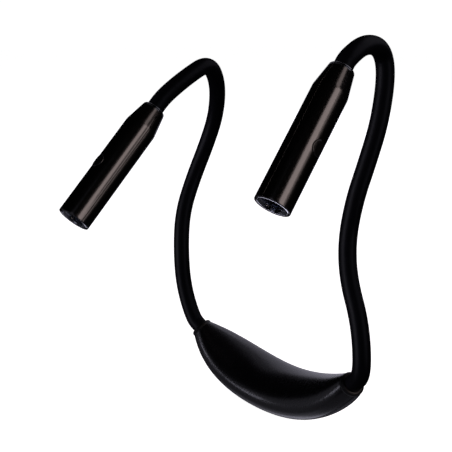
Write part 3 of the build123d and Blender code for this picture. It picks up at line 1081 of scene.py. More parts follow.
# ---------------------------------------------------------------- pod
@dataclass(frozen=True)
class PodForm:
    """The pod's bend and its section, in millimetres."""

    bend_radius: float = 90.0
    half_angle: float = 44.2
    tilt: float = 20.0
    thickness: float = 21.2
    width: float = 38.0
    end_dia: float = 14.0
    wall: float = 1.8
    swell_power: float = 3.5
    parting: float = -5.6
    parting_gap: float = 0.3
    parting_depth: float = 0.5
    least_bore: float = 6.0
    lip: float = 2.6
    spigot: float = 5.0

    @property
    def centre_height(self) -> float:
        """The bend centre's height over the hollow side's middle."""
        return self.bend_radius - self.thickness / 2

    def half_sizes(self, share: float, inset: float, least: float = 0.0) -> Place:
        """The section's half width and half thickness, drawn in by inset.

        Args:
            share: The place along the bend, from -1 to 1.
            inset: How far the section is drawn in.
            least: The least that either may be.

        Returns:
            The half width and the half thickness.
        """
        swell = 1 - min(1.0, abs(share)) ** self.swell_power
        end = self.end_dia / 2
        sizes = (self.width / 2, self.thickness / 2)
        return tuple(max(least, end + (size - end) * swell - inset) for size in sizes)

    def at(self, share: float, across: float, height: float) -> Vector:
        """A point at a share of the bend, across it and towards the neck, in the pod's own frame.

        Args:
            share: The place along the bend, from -1 to 1.
            across: How far it lies across the bend.
            height: How far it lies towards the neck.

        Returns:
            The point.
        """
        angle = math.radians(self.half_angle * share)
        reach = self.bend_radius - height
        return Vector((reach * math.sin(angle), across, self.centre_height - reach * math.cos(angle)))

    @property
    def place(self) -> Matrix:
        """The pod's own frame in the part's frame."""
        return Matrix.Rotation(math.radians(self.tilt), 4, "X")

    def end_frame(self, side: float) -> Matrix:
        """The frame on an end face: origin on the bend, Z out of the pod, in the pod's own frame.

        Args:
            side: -1 for the left end, 1 for the right one.

        Returns:
            The frame.
        """
        angle = math.radians(self.half_angle * side)
        out = Vector((math.cos(angle), 0.0, math.sin(angle))) * side
        across = Vector((0.0, 1.0, 0.0))
        turned_frame = Matrix((across, out.cross(across), out)).transposed().to_4x4()
        return Matrix.Translation(self.at(side, 0.0, 0.0)) @ turned_frame


@dataclass(frozen=True)
class PodSkin(Skin):
    """The neck shell's or the cover's outer or inner skin."""

    form: PodForm
    upper: bool
    edge: float
    inset: float
    least: float
    stations: tuple[Place, ...]
    cols: int
    socket_share: float

    @property
    def rows(self) -> int:
        """One row for each station."""
        return len(self.stations)

    def turn(self, half_thickness: float, share: float) -> float:
        """The angle round the section at a share of the columns.

        Args:
            half_thickness: The section's half thickness.
            share: The share of the columns, from 0 to 1.

        Returns:
            The angle, in radians.
        """
        start = math.asin(self.edge / half_thickness)
        sweep = math.pi - 2 * start if self.upper else -math.pi - 2 * start
        return start + sweep * share

    def spread(self, row: int, col: int) -> Triple:
        """A grid point as share, across and height.

        Args:
            row: Its row.
            col: Its column.

        Returns:
            Its share of the bend, how far across it lies and how high.
        """
        share, drawn = self.stations[row]
        inset = self.inset + (drawn if self.least == 0 else 0.0)
        width, thick = self.form.half_sizes(share, inset, self.least)
        angle = self.turn(thick, col / (self.cols - 1))
        return share, width * math.cos(angle), thick * math.sin(angle)

    def point(self, row: int, col: int) -> Vector:
        """The grid point."""
        return self.form.at(*self.spread(row, col))

    def plan(self, row: int, col: int) -> Place:
        """The grid point seen along the socket: along the pod there, and towards the neck.

        Args:
            row: Its row.
            col: Its column.

        Returns:
            Its place on the plan.
        """
        share, _, height = self.spread(row, col)
        angle = math.radians(self.form.half_angle * (share - self.socket_share))
        reach = self.form.bend_radius - height
        return (reach * math.sin(angle), self.form.bend_radius - reach * math.cos(angle))

    def lift(self, place: Place, inset: float = 0.0) -> Vector:
        """The skin's point on the socket's side over a place on that plan.

        Args:
            place: The place on the plan.
            inset: How far the skin is drawn in.

        Returns:
            The point.
        """
        along, up = place
        level = self.form.bend_radius - up
        share = self.socket_share + math.degrees(math.atan2(along, level)) / self.form.half_angle
        height = self.form.bend_radius - math.hypot(along, level)
        width, thick = self.form.half_sizes(share, self.inset + inset, self.least)
        across = width * math.sqrt(max(0.0, 1 - (height / thick) ** 2))
        return self.form.at(share, across, height)


@dataclass
class Pod:
    """The crescent that lies on the neck: neck shell, back cover, end collars and what they hold."""

    form: PodForm = field(default_factory=PodForm)
    row_count: int = 150
    col_count: int = 73
    edge_round: float = 0.14
    socket_share: float = 0.6
    socket_half: Place = (4.7, 1.8)
    socket_corner: float = 1.4
    socket_margin: Place = (2.2, 1.8)
    collar_bore: float = 5.06
    collar_spigot_radius: float = 5.91
    collar_round: float = 1.8
    collar_edges: tuple[float, ...] = (0.2, 0.3, 0.06, 0.45)
    collar_steps: int = 6
    rib_places: tuple[float, ...] = (-14.0, 0.0, 14.0)
    rib_feet: tuple[float, ...] = (-18.5, -19.65, -18.5)
    rib_top: float = -13.8
    rib_half: Place = (0.6, 9.0)
    post_places: tuple[float, ...] = (-5.0, 5.0)
    post_ends: Place = (-9.2, -2.8)
    post_radius: float = 2.0

    def stations(self) -> tuple[Place, ...]:
        """The rows of the shells.

        Returns:
            Their shares of the bend, each with how far the rounded end draws it in.
        """
        length = math.radians(self.form.half_angle) * self.form.bend_radius
        ends = [(1 - self.edge_round * along / length, self.edge_round * drawn) for drawn, along in EDGE_ARC]
        inner = ends[-1][0]
        shares = [inner * (2 * number / self.row_count - 1) for number in range(1, self.row_count)]
        rows = [(-share, drawn) for share, drawn in ends] + [(share, 0.0) for share in shares]
        return tuple(rows + [(share, drawn) for share, drawn in reversed(ends)])

    def shell(self, upper: bool) -> bmesh.types.BMesh:
        """Builds the neck shell or the back cover.

        Args:
            upper: True for the neck shell.

        Returns:
            The closed mesh, in the pod's own frame.
        """
        form, sign = self.form, 1 if upper else -1
        gap = form.parting + sign * form.parting_gap / 2
        stations = self.stations()
        shared = {"form": form, "upper": upper, "stations": stations, "cols": self.col_count}
        shared["socket_share"] = self.socket_share
        outer = PodSkin(edge=gap + sign * self.edge_round, inset=0.0, least=0.0, **shared)
        inner = PodSkin(edge=form.parting + sign * JOIN, inset=form.wall, least=form.least_bore, **shared)

        def rim(row: int, side: int) -> list[Vector]:
            """The rounded edge, the groove's wall and its floor.

            Args:
                row: The row.
                side: 0 for its first column, 1 for its last.

            Returns:
                The points, from the outer skin to the inner one.
            """
            share, drawn = stations[row]
            bend, depth = self.edge_round, form.parting_depth
            levels = [(bend * down, gap + sign * bend * out) for out, down in EDGE_ARC[1:]]
            levels += [(depth, gap), (depth, inner.edge)]
            points = []
            for inset, height in levels:
                width, thick = form.half_sizes(share, inset + drawn)
                across = width * math.sqrt(1 - (height / thick) ** 2)
                points.append(form.at(share, across * (1 - 2 * side), height))
            return points

        return wall(outer, inner, rim, self.socket_hole(outer) if upper else None)

    def socket_hole(self, skin: PodSkin) -> Hole:
        """The socket's slot, with the window of rows and columns that holds it.

        Args:
            skin: The neck shell's outer skin.

        Returns:
            The hole.
        """
        reach = tuple(half + margin for half, margin in zip(self.socket_half, self.socket_margin))
        nose = min(range(skin.cols // 2), key=lambda col: abs(skin.plan(skin.rows // 2, col)[1]))
        rows = [row for row in range(skin.rows) if abs(skin.plan(row, nose)[0]) < reach[0]]
        middle = rows[len(rows) // 2]
        cols = [col for col in range(skin.cols // 2) if abs(skin.plan(middle, col)[1]) < reach[1]]
        window = (rows[0], rows[-1]), (cols[0], cols[-1])
        return Hole(*window, (0.0, 0.0), self.socket_half, self.socket_corner)

    def cover_fittings(self, work: bmesh.types.BMesh) -> None:
        """Adds the cell's ribs and the board's posts to the cover.

        Args:
            work: The cover's mesh, in the pod's own frame.
        """
        thick, wide = self.rib_half
        for place, foot in zip(self.rib_places, self.rib_feet):
            block(work, (place - thick, -wide, foot), (place + thick, wide, self.rib_top))
        form = self.form
        angle = math.radians(form.half_angle * self.socket_share)
        along = Vector((math.cos(angle), 0.0, math.sin(angle)))
        for place in self.post_places:
            foot, top = (form.at(self.socket_share, 0.0, end) + along * place for end in self.post_ends)
            peg(work, foot, top, self.post_radius)

    def collar(self, side: int) -> bmesh.types.BMesh:
        """The ring that closes an end of the pod round the arm.

        Args:
            side: -1 for the left end, 1 for the right one.

        Returns:
            The closed mesh, in the pod's own frame.
        """
        work = bmesh.new()
        bore, spigot, outside = self.collar_bore, self.collar_spigot_radius, self.form.end_dia / 2
        back, lip = -self.form.spigot, self.form.lip
        back_in, back_out, seat, front_in = self.collar_edges
        corners = [(bore, back, back_in), (spigot, back, back_out), (spigot, 0.0, 0.0)]
        corners += [(outside, 0.0, seat), (outside, lip, self.collar_round), (bore, lip, front_in)]
        turned(work, rounded(corners, self.collar_steps), RING_SIDES)
        work.transform(self.form.end_frame(side))
        return work

    def build(self) -> list[bpy.types.Object]:
        """Builds and dresses the pod.

        Returns:
            Its new pieces.
        """
        place = self.form.place
        neck = finished("pod_neck_shell", self.shell(True), place)
        under = self.shell(False)
        self.cover_fittings(under)
        cover = finished("pod_back_cover", under, place)
        sides = (("left", -1), ("right", 1))
        collars = [finished(f"{name}_collar", self.collar(side), place) for name, side in sides]
        Look.POD_PLASTIC.paint(neck, cover)
        Look.COLLAR_PLASTIC.paint(*collars)
        pieces = [neck, cover, *collars]
        stood_for = ("neck_shell", "back_cover", "left_end_collar", "right_end_collar")
        for piece, node in zip(pieces, stood_for):
            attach(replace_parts(piece, node), "pod")
        return pieces


# ---------------------------------------------------------------- arms
@dataclass(frozen=True)
class Route:
    """An arm's middle line from inside the pod's collar to inside the head's tail."""

    side: int
    exit_share: float
    shares: tuple[Triple, ...]
    head_roll: float
    rise: float = 180.0
    grip: float = 15.0

    def mouth(self, form: PodForm) -> tuple[Vector, Vector]:
        """The middle of the collar's mouth and the way out of it, in millimetres.

        Args:
            form: The pod's form.

        Returns:
            The point and the direction.
        """
        end = form.place @ form.end_frame(self.side)
        out = (end.to_3x3() @ Vector((0.0, 0.0, 1.0))).normalized()
        return end.translation + out * form.lip, out

    def corners(self, form: PodForm) -> list[Vector]:
        """The route's points in millimetres, the first in the collar and the last in the head.

        Args:
            form: The pod's form.

        Returns:
            The points.
        """
        mouth, out = self.mouth(form)
        points = [mouth - out * (form.lip + form.spigot), mouth + out * (self.exit_share * self.rise)]
        points += [mouth + Vector(place) * self.rise for place in self.shares]
        points[-1] = points[-1] + (points[-1] - points[-2]).normalized() * self.grip
        return points

    def head_place(self, form: PodForm, length: float) -> Matrix:
        """The head's frame: origin in its front, Z towards the arm, X towards the button, in metres.

        Args:
            form: The pod's form.
            length: The head's length, in millimetres.

        Returns:
            The frame.
        """
        points = self.corners(form)
        forward = (points[-1] - points[-2]).normalized()
        front = points[-1] - forward * self.grip + forward * length
        level = forward.cross(Vector((0.0, 0.0, 1.0))).normalized()
        upward = level.cross(forward)
        roll = math.radians(self.head_roll)
        button = level * math.cos(roll) + upward * math.sin(roll)
        across = (-forward).cross(button)
        return Matrix.Translation(front * MM) @ Matrix((button, across, -forward)).transposed().to_4x4()


LEFT_ROUTE = Route(
    side=-1,
    exit_share=0.040,
    shares=(
        (-0.072, -0.018, 0.144),
        (-0.081, -0.020, 0.285),
        (-0.116, 0.019, 0.402),
        (-0.125, 0.078, 0.519),
        (-0.096, 0.117, 0.641),
        (-0.042, 0.116, 0.752),
        (0.021, 0.069, 0.866),
        (0.075, -0.019, 0.939),
        (0.108, -0.144, 0.894),
        (0.122, -0.244, 0.841),
        (0.121, -0.282, 0.802),
    ),
    head_roll=85.0,
)
RIGHT_ROUTE = Route(
    side=1,
    exit_share=0.066,
    shares=(
        (0.028, -0.010, 0.194),
        (-0.042, 0.011, 0.317),
        (-0.081, 0.046, 0.424),
        (-0.057, 0.048, 0.551),
        (-0.041, 0.082, 0.663),
        (-0.026, 0.115, 0.784),
        (-0.037, 0.151, 0.923),
        (-0.038, 0.122, 0.994),
        (0.012, -0.011, 1.007),
        (0.036, -0.110, 0.971),
        (0.037, -0.133, 0.942),
    ),
    head_roll=-176.0,
)


class Stretch(NamedTuple):
    """A length of an arm: the bodies it bends between, its line, its bend's ends and the CAD spans in it."""

    label: str
    low: str
    high: str
    points: list[Vector]
    start: Vector
    end: Vector
    spans: tuple[str, ...]


@dataclass
class Arm:
    """A bendable arm: a rubber sleeve over a wound core, in three lengths."""

    name: str
    route: Route
    form: PodForm
    radius: float = 5.0
    bore: float = 3.5
    core_radius: float = 3.4
    anchor_reach: float = 5.2
    head_reach: float = 5.0
    sides: int = 48
    core_sides: int = 20
    crease: float = 50.0

    def stretches(self) -> tuple[Stretch, ...]:
        """The lengths of the arm.

        Returns:
            The length on the pod, the middle one and the one that holds the head.
        """
        p = [point * MM for point in self.route.corners(self.form)]
        mouth = self.route.mouth(self.form)[0] * MM
        rear = p[-1] - (p[-1] - p[-2]).normalized() * self.route.grip * MM
        cut_low, cut_high = (p[3] + p[4]) / 2, (p[7] + p[8]) / 2
        lower, upper, head = (f"{self.name}_{part}" for part in ("lower_arm", "upper_arm", "head"))
        root = mouth, (p[2] + p[3]) / 2
        middle = (p[4] + p[5]) / 2, (p[6] + p[7]) / 2
        top = (p[8] + p[9]) / 2, rear
        first = [p[0], mouth, *p[1:4], cut_low]
        second = [cut_low, *p[4:8], cut_high]
        third = [cut_high, *p[8:12], rear, p[12]]
        return (
            Stretch("lower", "pod", lower, first, *root, ("root_bend", "lower_span")),
            Stretch("middle", lower, upper, second, *middle, ("middle_bend", "lower_span", "upper_span")),
            Stretch("top", upper, head, third, *top, ("top_bend", "upper_span")),
        )

    def build(self, tube: PathTube) -> list[bpy.types.Object]:
        """Builds the arm.

        Args:
            tube: The node tree that draws along a path.

        Returns:
            Its sleeves and cores.
        """
        pieces = []
        rubber, steel = Look.ARM_RUBBER, Look.ARM_CORE
        for label, low, high, points, start, end, spans in self.stretches():
            name = f"{self.name}_{label}"
            sleeve = tube.draw(f"{name}_sleeve", points, self.radius * MM, self.sides, False, rubber)
            thick = sleeve.modifiers.new("wall", "SOLIDIFY")
            thick.thickness = (self.radius - self.bore) * MM
            thick.offset = -1.0
            settled(sleeve)
            longer = list(points)
            if label == "lower":
                longer[0] = points[0] + (points[0] - points[1]).normalized() * self.anchor_reach * MM
            if label == "top":
                longer[-1] = points[-1] + (points[-1] - points[-2]).normalized() * self.head_reach * MM
            core = tube.draw(f"{name}_core", longer, self.core_radius * MM, self.core_sides, True, steel)
            for piece, kind, look in ((sleeve, "sleeve", rubber), (core, "core", steel)):
                piece.data.shade_smooth()
                piece.data.set_sharp_from_angle(angle=math.radians(self.crease))
                look.paint(piece)
                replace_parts(piece, *(f"{self.name}_{span}_{kind}" for span in spans))
                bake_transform(piece)
                pieces.append(piece)
        return pieces


# ---------------------------------------------------------------- heads
@dataclass(frozen=True)
class HeadForm:
    """A head's outline, in millimetres from its front."""

    radius: float = 9.3
    length: float = 78.0
    taper: float = 14.0
    tail_radius: float = 6.6
    tail_round: float = 0.9
    front_round: float = 0.4
    front_bore: float = 8.5
    bore: float = 8.1
    ledge_bore: float = 6.5
    grip_bore: float = 5.06
    bezel_back: float = 5.0
    ledge_front: float = 12.4
    ledge_back: float = 13.6
    grip_start: float = 63.0
    taper_ease: float = 0.7
    row_gap: float = 0.72
    tail_row_gap: float = 0.6
    step_half: float = 0.1
    mouth_bevel: float = 0.08
    mouth_spread: float = 0.4
    tail_bevel: Place = (0.25, 0.2)

    def outer(self, height: float) -> float:
        """The outer radius at a distance from the front.

        Args:
            height: The distance from the front.

        Returns:
            The radius.
        """
        over = height - (self.length - self.taper)
        slope = (self.radius - self.tail_radius) / self.taper
        if over <= -self.taper_ease:
            return self.radius
        if over >= self.taper_ease:
            return self.radius - slope * over
        return self.radius - slope * (over + self.taper_ease) ** 2 / (4 * self.taper_ease)

    def rows(self) -> list[tuple[Place, Place]]:
        """The rows of the shells, from the front to the tail.

        Returns:
            Pairs of outer and inner (height, radius).
        """
        pairs: list[tuple[Place, Place]] = []
        for across, down in EDGE_ARC:
            outer = (self.front_round * down, self.radius - self.front_round * across)
            inner = (self.mouth_bevel + self.mouth_spread * down, self.front_bore)
            pairs.append((outer, inner if pairs else (0.0, self.front_bore + self.mouth_bevel)))
        steps = (
            (self.bezel_back, self.front_bore, self.bore),
            (self.ledge_front, self.bore, self.ledge_bore),
            (self.ledge_back, self.ledge_bore, self.bore),
            (self.grip_start, self.bore, self.grip_bore),
        )
        bore = self.front_bore
        height = self.front_round
        for level, before, after in steps:
            count = max(2, round((level - height) / self.row_gap))
            gap = (level - height) / count
            for number in range(1, count):
                spot = height + gap * number
                pairs.append(((spot, self.outer(spot)), (spot, bore)))
            for spot, bore in ((level - self.step_half, before), (level + self.step_half, after)):
                pairs.append(((spot, self.outer(spot)), (level, bore)))
            height = level + self.step_half
        last = self.length - self.tail_round
        count = round((last - height) / self.tail_row_gap)
        for number in range(1, count):
            spot = height + (last - height) * number / count
            pairs.append(((spot, self.outer(spot)), (spot, bore)))
        for down, across in reversed(EDGE_ARC):
            spot = self.length - self.tail_round * down
            deep, wide = self.tail_bevel
            inner = (self.length - deep * down, bore + wide * (1 - down))
            pairs.append(((spot, self.outer(spot) - self.tail_round * across), inner))
        return pairs


@dataclass(frozen=True)
class HeadSkin(Skin):
    """A half shell's outer or inner skin.

    Its columns next to its edges lie at the margin, in radians, so that the shading stays even.
    """

    outline: tuple[Place, ...]
    edge: float
    sign: int
    cols: int
    margin: float = 0.0065

    @property
    def rows(self) -> int:
        """One row for each point of the outline."""
        return len(self.outline)

    def point(self, row: int, col: int) -> Vector:
        """The grid point.

        Args:
            row: Its row.
            col: Its column.

        Returns:
            The point.
        """
        height, radius = self.outline[row]
        half = math.acos(self.edge / radius)
        angle = half if col else -half
        if 0 < col < self.cols - 1:
            angle = (half - self.margin) * (2 * (col - 1) / (self.cols - 3) - 1)
        return Vector((self.sign * radius * math.cos(angle), radius * math.sin(angle), height))

    def plan(self, row: int, col: int) -> Place:
        """The grid point seen along the button: along the head and across it."""
        spot = self.point(row, col)
        return (spot.z, spot.y)

    def lift(self, place: Place, inset: float = 0.0) -> Vector:
        """The skin's point over a place on that plan, in its even stretch."""
        radius = self.outline[len(self.outline) // 2][1] - inset
        return Vector((math.sqrt(radius**2 - place[1] ** 2), place[1], place[0]))


@dataclass
class Head:
    """A light head: two half shells, the lens end, the lamps and the push button."""

    name: str
    place: Matrix
    form: HeadForm = field(default_factory=HeadForm)
    col_count: int = 61
    seam_gap: float = 0.45
    seam_depth: float = 0.75
    seam_floor: float = 0.05
    seam_floor_half: float = 0.06
    edge_round: float = 0.07
    post_heights: Place = (18.6, 46.6)
    post_ends: Place = (-8.7, 0.7)
    post_radius: float = 1.5
    button_height: float = 33.5
    button_radius: float = 4.0
    button_hole: float = 4.15
    hole_round: float = 0.12
    window_margin: float = 1.6
    button_rise: float = 0.28
    button_round: float = 0.38
    button_sides: int = 72
    cap_rings: int = 14
    dish_radius: float = 14.0
    dish_depth: float = 0.35
    dish_ease: float = 0.06
    flange_radius: float = 4.7
    flange_level: float = 7.95
    flange_thickness: float = 0.8
    stem_radius: float = 1.5
    stem_end: float = 4.4
    stem_round: float = 0.2
    ring_outside: float = 8.45
    ring_inside: float = 8.15
    ring_lip: float = 0.75
    ring_levels: tuple[float, ...] = (0.05, 0.12, 1.6, 5.0)
    ring_edges: tuple[float, ...] = (0.1, 0.5, 0.05, 0.05, 0.0, 0.15)
    crown_radius: float = 7.65
    crown_level: float = 1.2
    crown_drop: Place = (0.15, 1.2)
    crown_angles: tuple[float, ...] = (0.0, 0.35, 0.7, 0.95, 1.15)
    lens_step: tuple[Place, ...] = ((7.4, 1.34), (7.6, 1.45), (7.65, 1.6), (8.1, 1.6))
    lens_back: float = 3.4
    lens_back_radii: tuple[float, ...] = (8.1, 7.0, 4.0, 0.0)
    lamp_level: float = 11.0
    lamp_count: int = 3
    lamp_ring: float = 3.2
    lamp_crease: float = 50.0
    chip_half: float = 1.5
    chip_thickness: float = 0.9
    chip_bevel: float = 0.12
    dome_radii: tuple[float, ...] = (0.0, 0.5, 0.9, 1.12, 1.2, 0.0)
    dome_levels: tuple[float, ...] = (-1.12, -1.1, -1.03, -0.96, -0.9, -0.9)
    dome_sides: int = 40

    def half(self, sign: int) -> bmesh.types.BMesh:
        """Builds a half shell.

        Args:
            sign: 1 for the half with the button's hole, -1 for the plain one.

        Returns:
            The closed mesh, in the head's own frame.
        """
        pairs = self.form.rows()
        near = self.seam_gap / 2
        outer = HeadSkin(tuple(o for o, _ in pairs), near + self.edge_round, sign, self.col_count)
        inner = HeadSkin(tuple(i for _, i in pairs), JOIN, sign, self.col_count)

        def rim(row: int, side: int) -> list[Vector]:
            """The rounded edge, the seam's steep wall and its narrow floor.

            Args:
                row: The row.
                side: 0 for its first column, 1 for its last.

            Returns:
                The points, from the outer skin to the inner one.
            """
            height, radius = pairs[row][0]
            bend = self.edge_round
            levels = [(bend * down, near + bend * out) for out, down in EDGE_ARC[1:]]
            floor = min(self.seam_depth, radius - pairs[row][1][1] - self.seam_floor)
            levels += [(floor, self.seam_floor_half), (floor, JOIN)]
            points = []
            for inset, x in levels:
                across = math.sqrt((radius - inset) ** 2 - x * x)
                points.append(Vector((sign * x, across * (2 * side - 1), height)))
            return points

        hole = self.button_window(outer) if sign > 0 else None
        work = wall(outer, inner, rim, hole, self.hole_round)
        if sign < 0:
            for height in self.post_heights:
                foot, top = (Vector((end, 0.0, height)) for end in self.post_ends)
                peg(work, foot, top, self.post_radius)
        return work

    def button_window(self, skin: HeadSkin) -> Hole:
        """The button's hole, with the window of rows and columns that holds it.

        Args:
            skin: The outer skin of the half with the button.

        Returns:
            The hole.
        """
        size, middle = self.button_hole, skin.cols // 2
        reach = size + self.window_margin
        rows = [r for r in range(skin.rows) if abs(skin.plan(r, middle)[0] - self.button_height) < reach]
        cols = [c for c in range(skin.cols) if abs(skin.plan(rows[0], c)[1]) < reach]
        return Hole((rows[0], rows[-1]), (cols[0], cols[-1]), (self.button_height, 0.0), (size, size), size)

    def cap_level(self, across: float, reach: float) -> float:
        """The cap's height: the head's round, with a dish that eases into it.

        Args:
            across: The distance across the head.
            reach: The distance from the cap's own middle.

        Returns:
            The distance from the head's axis.
        """
        round_top = math.sqrt((self.form.radius + self.button_rise) ** 2 - across**2)
        ball = self.form.radius + self.button_rise - self.dish_depth + self.dish_radius
        dish = ball - math.sqrt(self.dish_radius**2 - reach**2)
        ease = self.dish_ease
        k = max(0.0, min(1.0, 0.5 + (round_top - dish) / (2 * ease)))
        return round_top + (dish - round_top) * k - ease * k * (1 - k)

    def button(self) -> bmesh.types.BMesh:
        """The push button: dished cap, rounded rim, flange and stem.

        Returns:
            The closed mesh, in the head's own frame.
        """
        work = bmesh.new()
        sides, bend, count = self.button_sides, self.button_round, self.cap_rings
        flat, top = self.button_radius - bend, self.flange_level
        under = top - self.flange_thickness
        rings: list[Callable[[float], Place]] = []
        for number in range(1, count + 1):
            rings.append(lambda s, reach=flat * number / count: (reach, self.cap_level(reach * s, reach)))
        for across, down in EDGE_ARC[1:]:
            sizes = (self.button_radius - bend * across, bend * down)
            rings.append(lambda s, sizes=sizes: (sizes[0], self.cap_level(flat * s, flat) - sizes[1]))
        wide, stem = self.flange_radius, self.stem_radius
        for reach, level in ((self.button_radius, top), (wide, top), (wide, under), (stem, under)):
            rings.append(lambda s, reach=reach, level=level: (reach, math.sqrt(level**2 - (reach * s) ** 2)))
        rings.append(lambda s: (stem, self.stem_end + self.stem_round))
        rings.append(lambda s: (stem - self.stem_round, self.stem_end))
        angles = [2 * math.pi * number / sides for number in range(sides)]
        ring = [work.verts.new((self.cap_level(0.0, 0.0), 0.0, self.button_height))] * sides
        for shape in rings:
            following = []
            for angle in angles:
                reach, level = shape(math.sin(angle))
                across, along = reach * math.sin(angle), reach * math.cos(angle)
                following.append(work.verts.new((level, across, self.button_height + along)))
            bridge(work, ring, following)
            ring = following
        bridge(work, ring, [work.verts.new((self.stem_end, 0.0, self.button_height))] * sides)
        return work

    def bezel(self) -> bmesh.types.BMesh:
        """The bright ring that holds the lens, flush with the shell's front.

        Returns:
            The closed mesh, in the head's own frame.
        """
        work = bmesh.new()
        outside, inside = self.ring_outside, self.ring_inside
        lip = outside - self.ring_lip
        front, lip_front, lip_back, back = self.ring_levels
        corners = ((lip, lip_front), (outside, front), (outside, back), (inside, back), (inside, lip_back))
        corners += ((lip, lip_back),)
        turned(work, rounded([(*spot, edge) for spot, edge in zip(corners, self.ring_edges)]), RING_SIDES)
        return work

    def lens(self) -> bmesh.types.BMesh:
        """The clear lens: a rim behind the ring's lip and a low crown.

        Returns:
            The closed mesh, in the head's own frame.
        """
        work = bmesh.new()
        drop, pace = self.crown_drop
        outline = [
            (self.crown_radius * math.sin(a), self.crown_level + drop * (1 - math.cos(a * pace)))
            for a in self.crown_angles
        ]
        outline += [*self.lens_step, *((radius, self.lens_back) for radius in self.lens_back_radii)]
        turned(work, outline, RING_SIDES, closed=False)
        return work

    def lamps(self, ring: RingOfItems) -> list[bpy.types.Object]:
        """The lamp chips and their round windows, on their ring.

        Args:
            ring: The node tree that sets items on a ring.

        Returns:
            The chips and the windows.
        """
        seat = self.place @ Matrix.Translation((0.0, 0.0, self.lamp_level * MM))
        chip, dome, half = bmesh.new(), bmesh.new(), self.chip_half
        block(chip, (-half, -half, -self.chip_thickness), (half, half, 0.0))
        bevel = {"offset": self.chip_bevel, "segments": 2, "affect": "EDGES", "profile": 0.5}
        bmesh.ops.bevel(chip, geom=chip.edges[:], **bevel)
        turned(dome, list(zip(self.dome_radii, self.dome_levels)), self.dome_sides, False)
        pieces = []
        for label, work, look in (("chips", chip, Look.LAMP_CHIP), ("windows", dome, Look.LAMP_GLOW)):
            item = finished(f"{self.name}_{label}_item", work, Matrix.Scale(1 / MM, 4), self.lamp_crease)
            name = f"{self.name}_lamp_{label}"
            piece = ring.spread(name, item, self.lamp_count, self.lamp_ring, seat, look)
            look.paint(piece)
            pieces.append(piece)
        return pieces

    def build(self, ring: RingOfItems) -> list[bpy.types.Object]:
        """Builds and dresses the head.

        Args:
            ring: The node tree that sets items on a ring.

        Returns:
            Its new pieces.
        """
        body = f"{self.name}_head"
        made = (
            ("button_half", self.half(1), Look.HEAD_PLASTIC, "button_half_shell", body),
            ("plain_half", self.half(-1), Look.HEAD_PLASTIC, "plain_half_shell", body),
            ("lens_ring", self.bezel(), Look.BEZEL_CHROME, "bezel", body),
            ("lens_clear", self.lens(), Look.LENS_CLEAR, "lens", body),
            ("push_button", self.button(), Look.BUTTON_PLASTIC, "button", f"{self.name}_button"),
        )
        pieces = []
        for label, work, look, node, rides in made:
            piece = finished(f"{self.name}_{label}", work, self.place)
            look.paint(piece)
            pieces.append(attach(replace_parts(piece, f"{self.name}_{node}"), rides))
        for piece in self.lamps(ring):
            pieces.append(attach(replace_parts(piece, f"{self.name}_leds"), body))
        return pieces


# ---------------------------------------------------------------- carried-over nodes
def dress_inside(nodes: dict[str, bpy.types.Object]) -> int:
    """Gives the CAD nodes that stay their finishes.

    Args:
        nodes: The frame's nodes by name.

    Returns:
        How many were dressed.
    """
    kinds = {
        "reflector": Look.REFLECTOR_MIRROR,
        "led_board": Look.LAMP_BOARD,
        "switch_board": Look.CIRCUIT_BOARD,
        "switch": Look.SWITCH_PLASTIC,
        "arm_ferrule": Look.RING_STEEL,
        "arm_anchor": Look.RING_STEEL,
        "wires": Look.WIRE_INSULATION,
        "pod_leads": Look.WIRE_INSULATION,
        "battery_cell": Look.CELL_FOIL,
        "control_board": Look.CIRCUIT_BOARD,
        "control_screws": Look.RING_STEEL,
        "charge_socket": Look.RING_STEEL,
    }
    dressed = 0
    for name, node in nodes.items():
        if node.hide_render:
            continue
        kinds[name.removeprefix("left_").removeprefix("right_")].coat(node)
        dressed += 1
    return dressed


# ---------------------------------------------------------------- studio
WARM = (1.0, 0.82, 0.79)
COOL = (0.85, 0.83, 1.0)
RIGHT_SHELLS = ("right_button_half", "right_plain_half")
LEFT_SHELLS = ("left_button_half", "left_plain_half")


@dataclass(frozen=True)
class SoftBox:
    """A soft studio light, placed as the camera sees the room.

    Its turn to the right and its rise are in degrees: 0, 0 is behind the camera, 90, 0 to its right. Its
    spread, also in degrees, is how wide and how high it looks from the object. It lights the pieces whose
    names have one of the words in only, or all but those with a word in skips.
    """

    name: str
    turn: float
    rise: float
    spread: Place
    radiance: float
    colour: Colour
    lean: float = 0.0
    reach: float = 2.0
    only: tuple[str, ...] = ()
    skips: tuple[str, ...] = ("_sleeve",)
    blocked: bool = True

    @property
    def size(self) -> Place:
        """Its width and height."""
        return tuple(2 * self.reach * math.tan(math.radians(angle) / 2) for angle in self.spread)


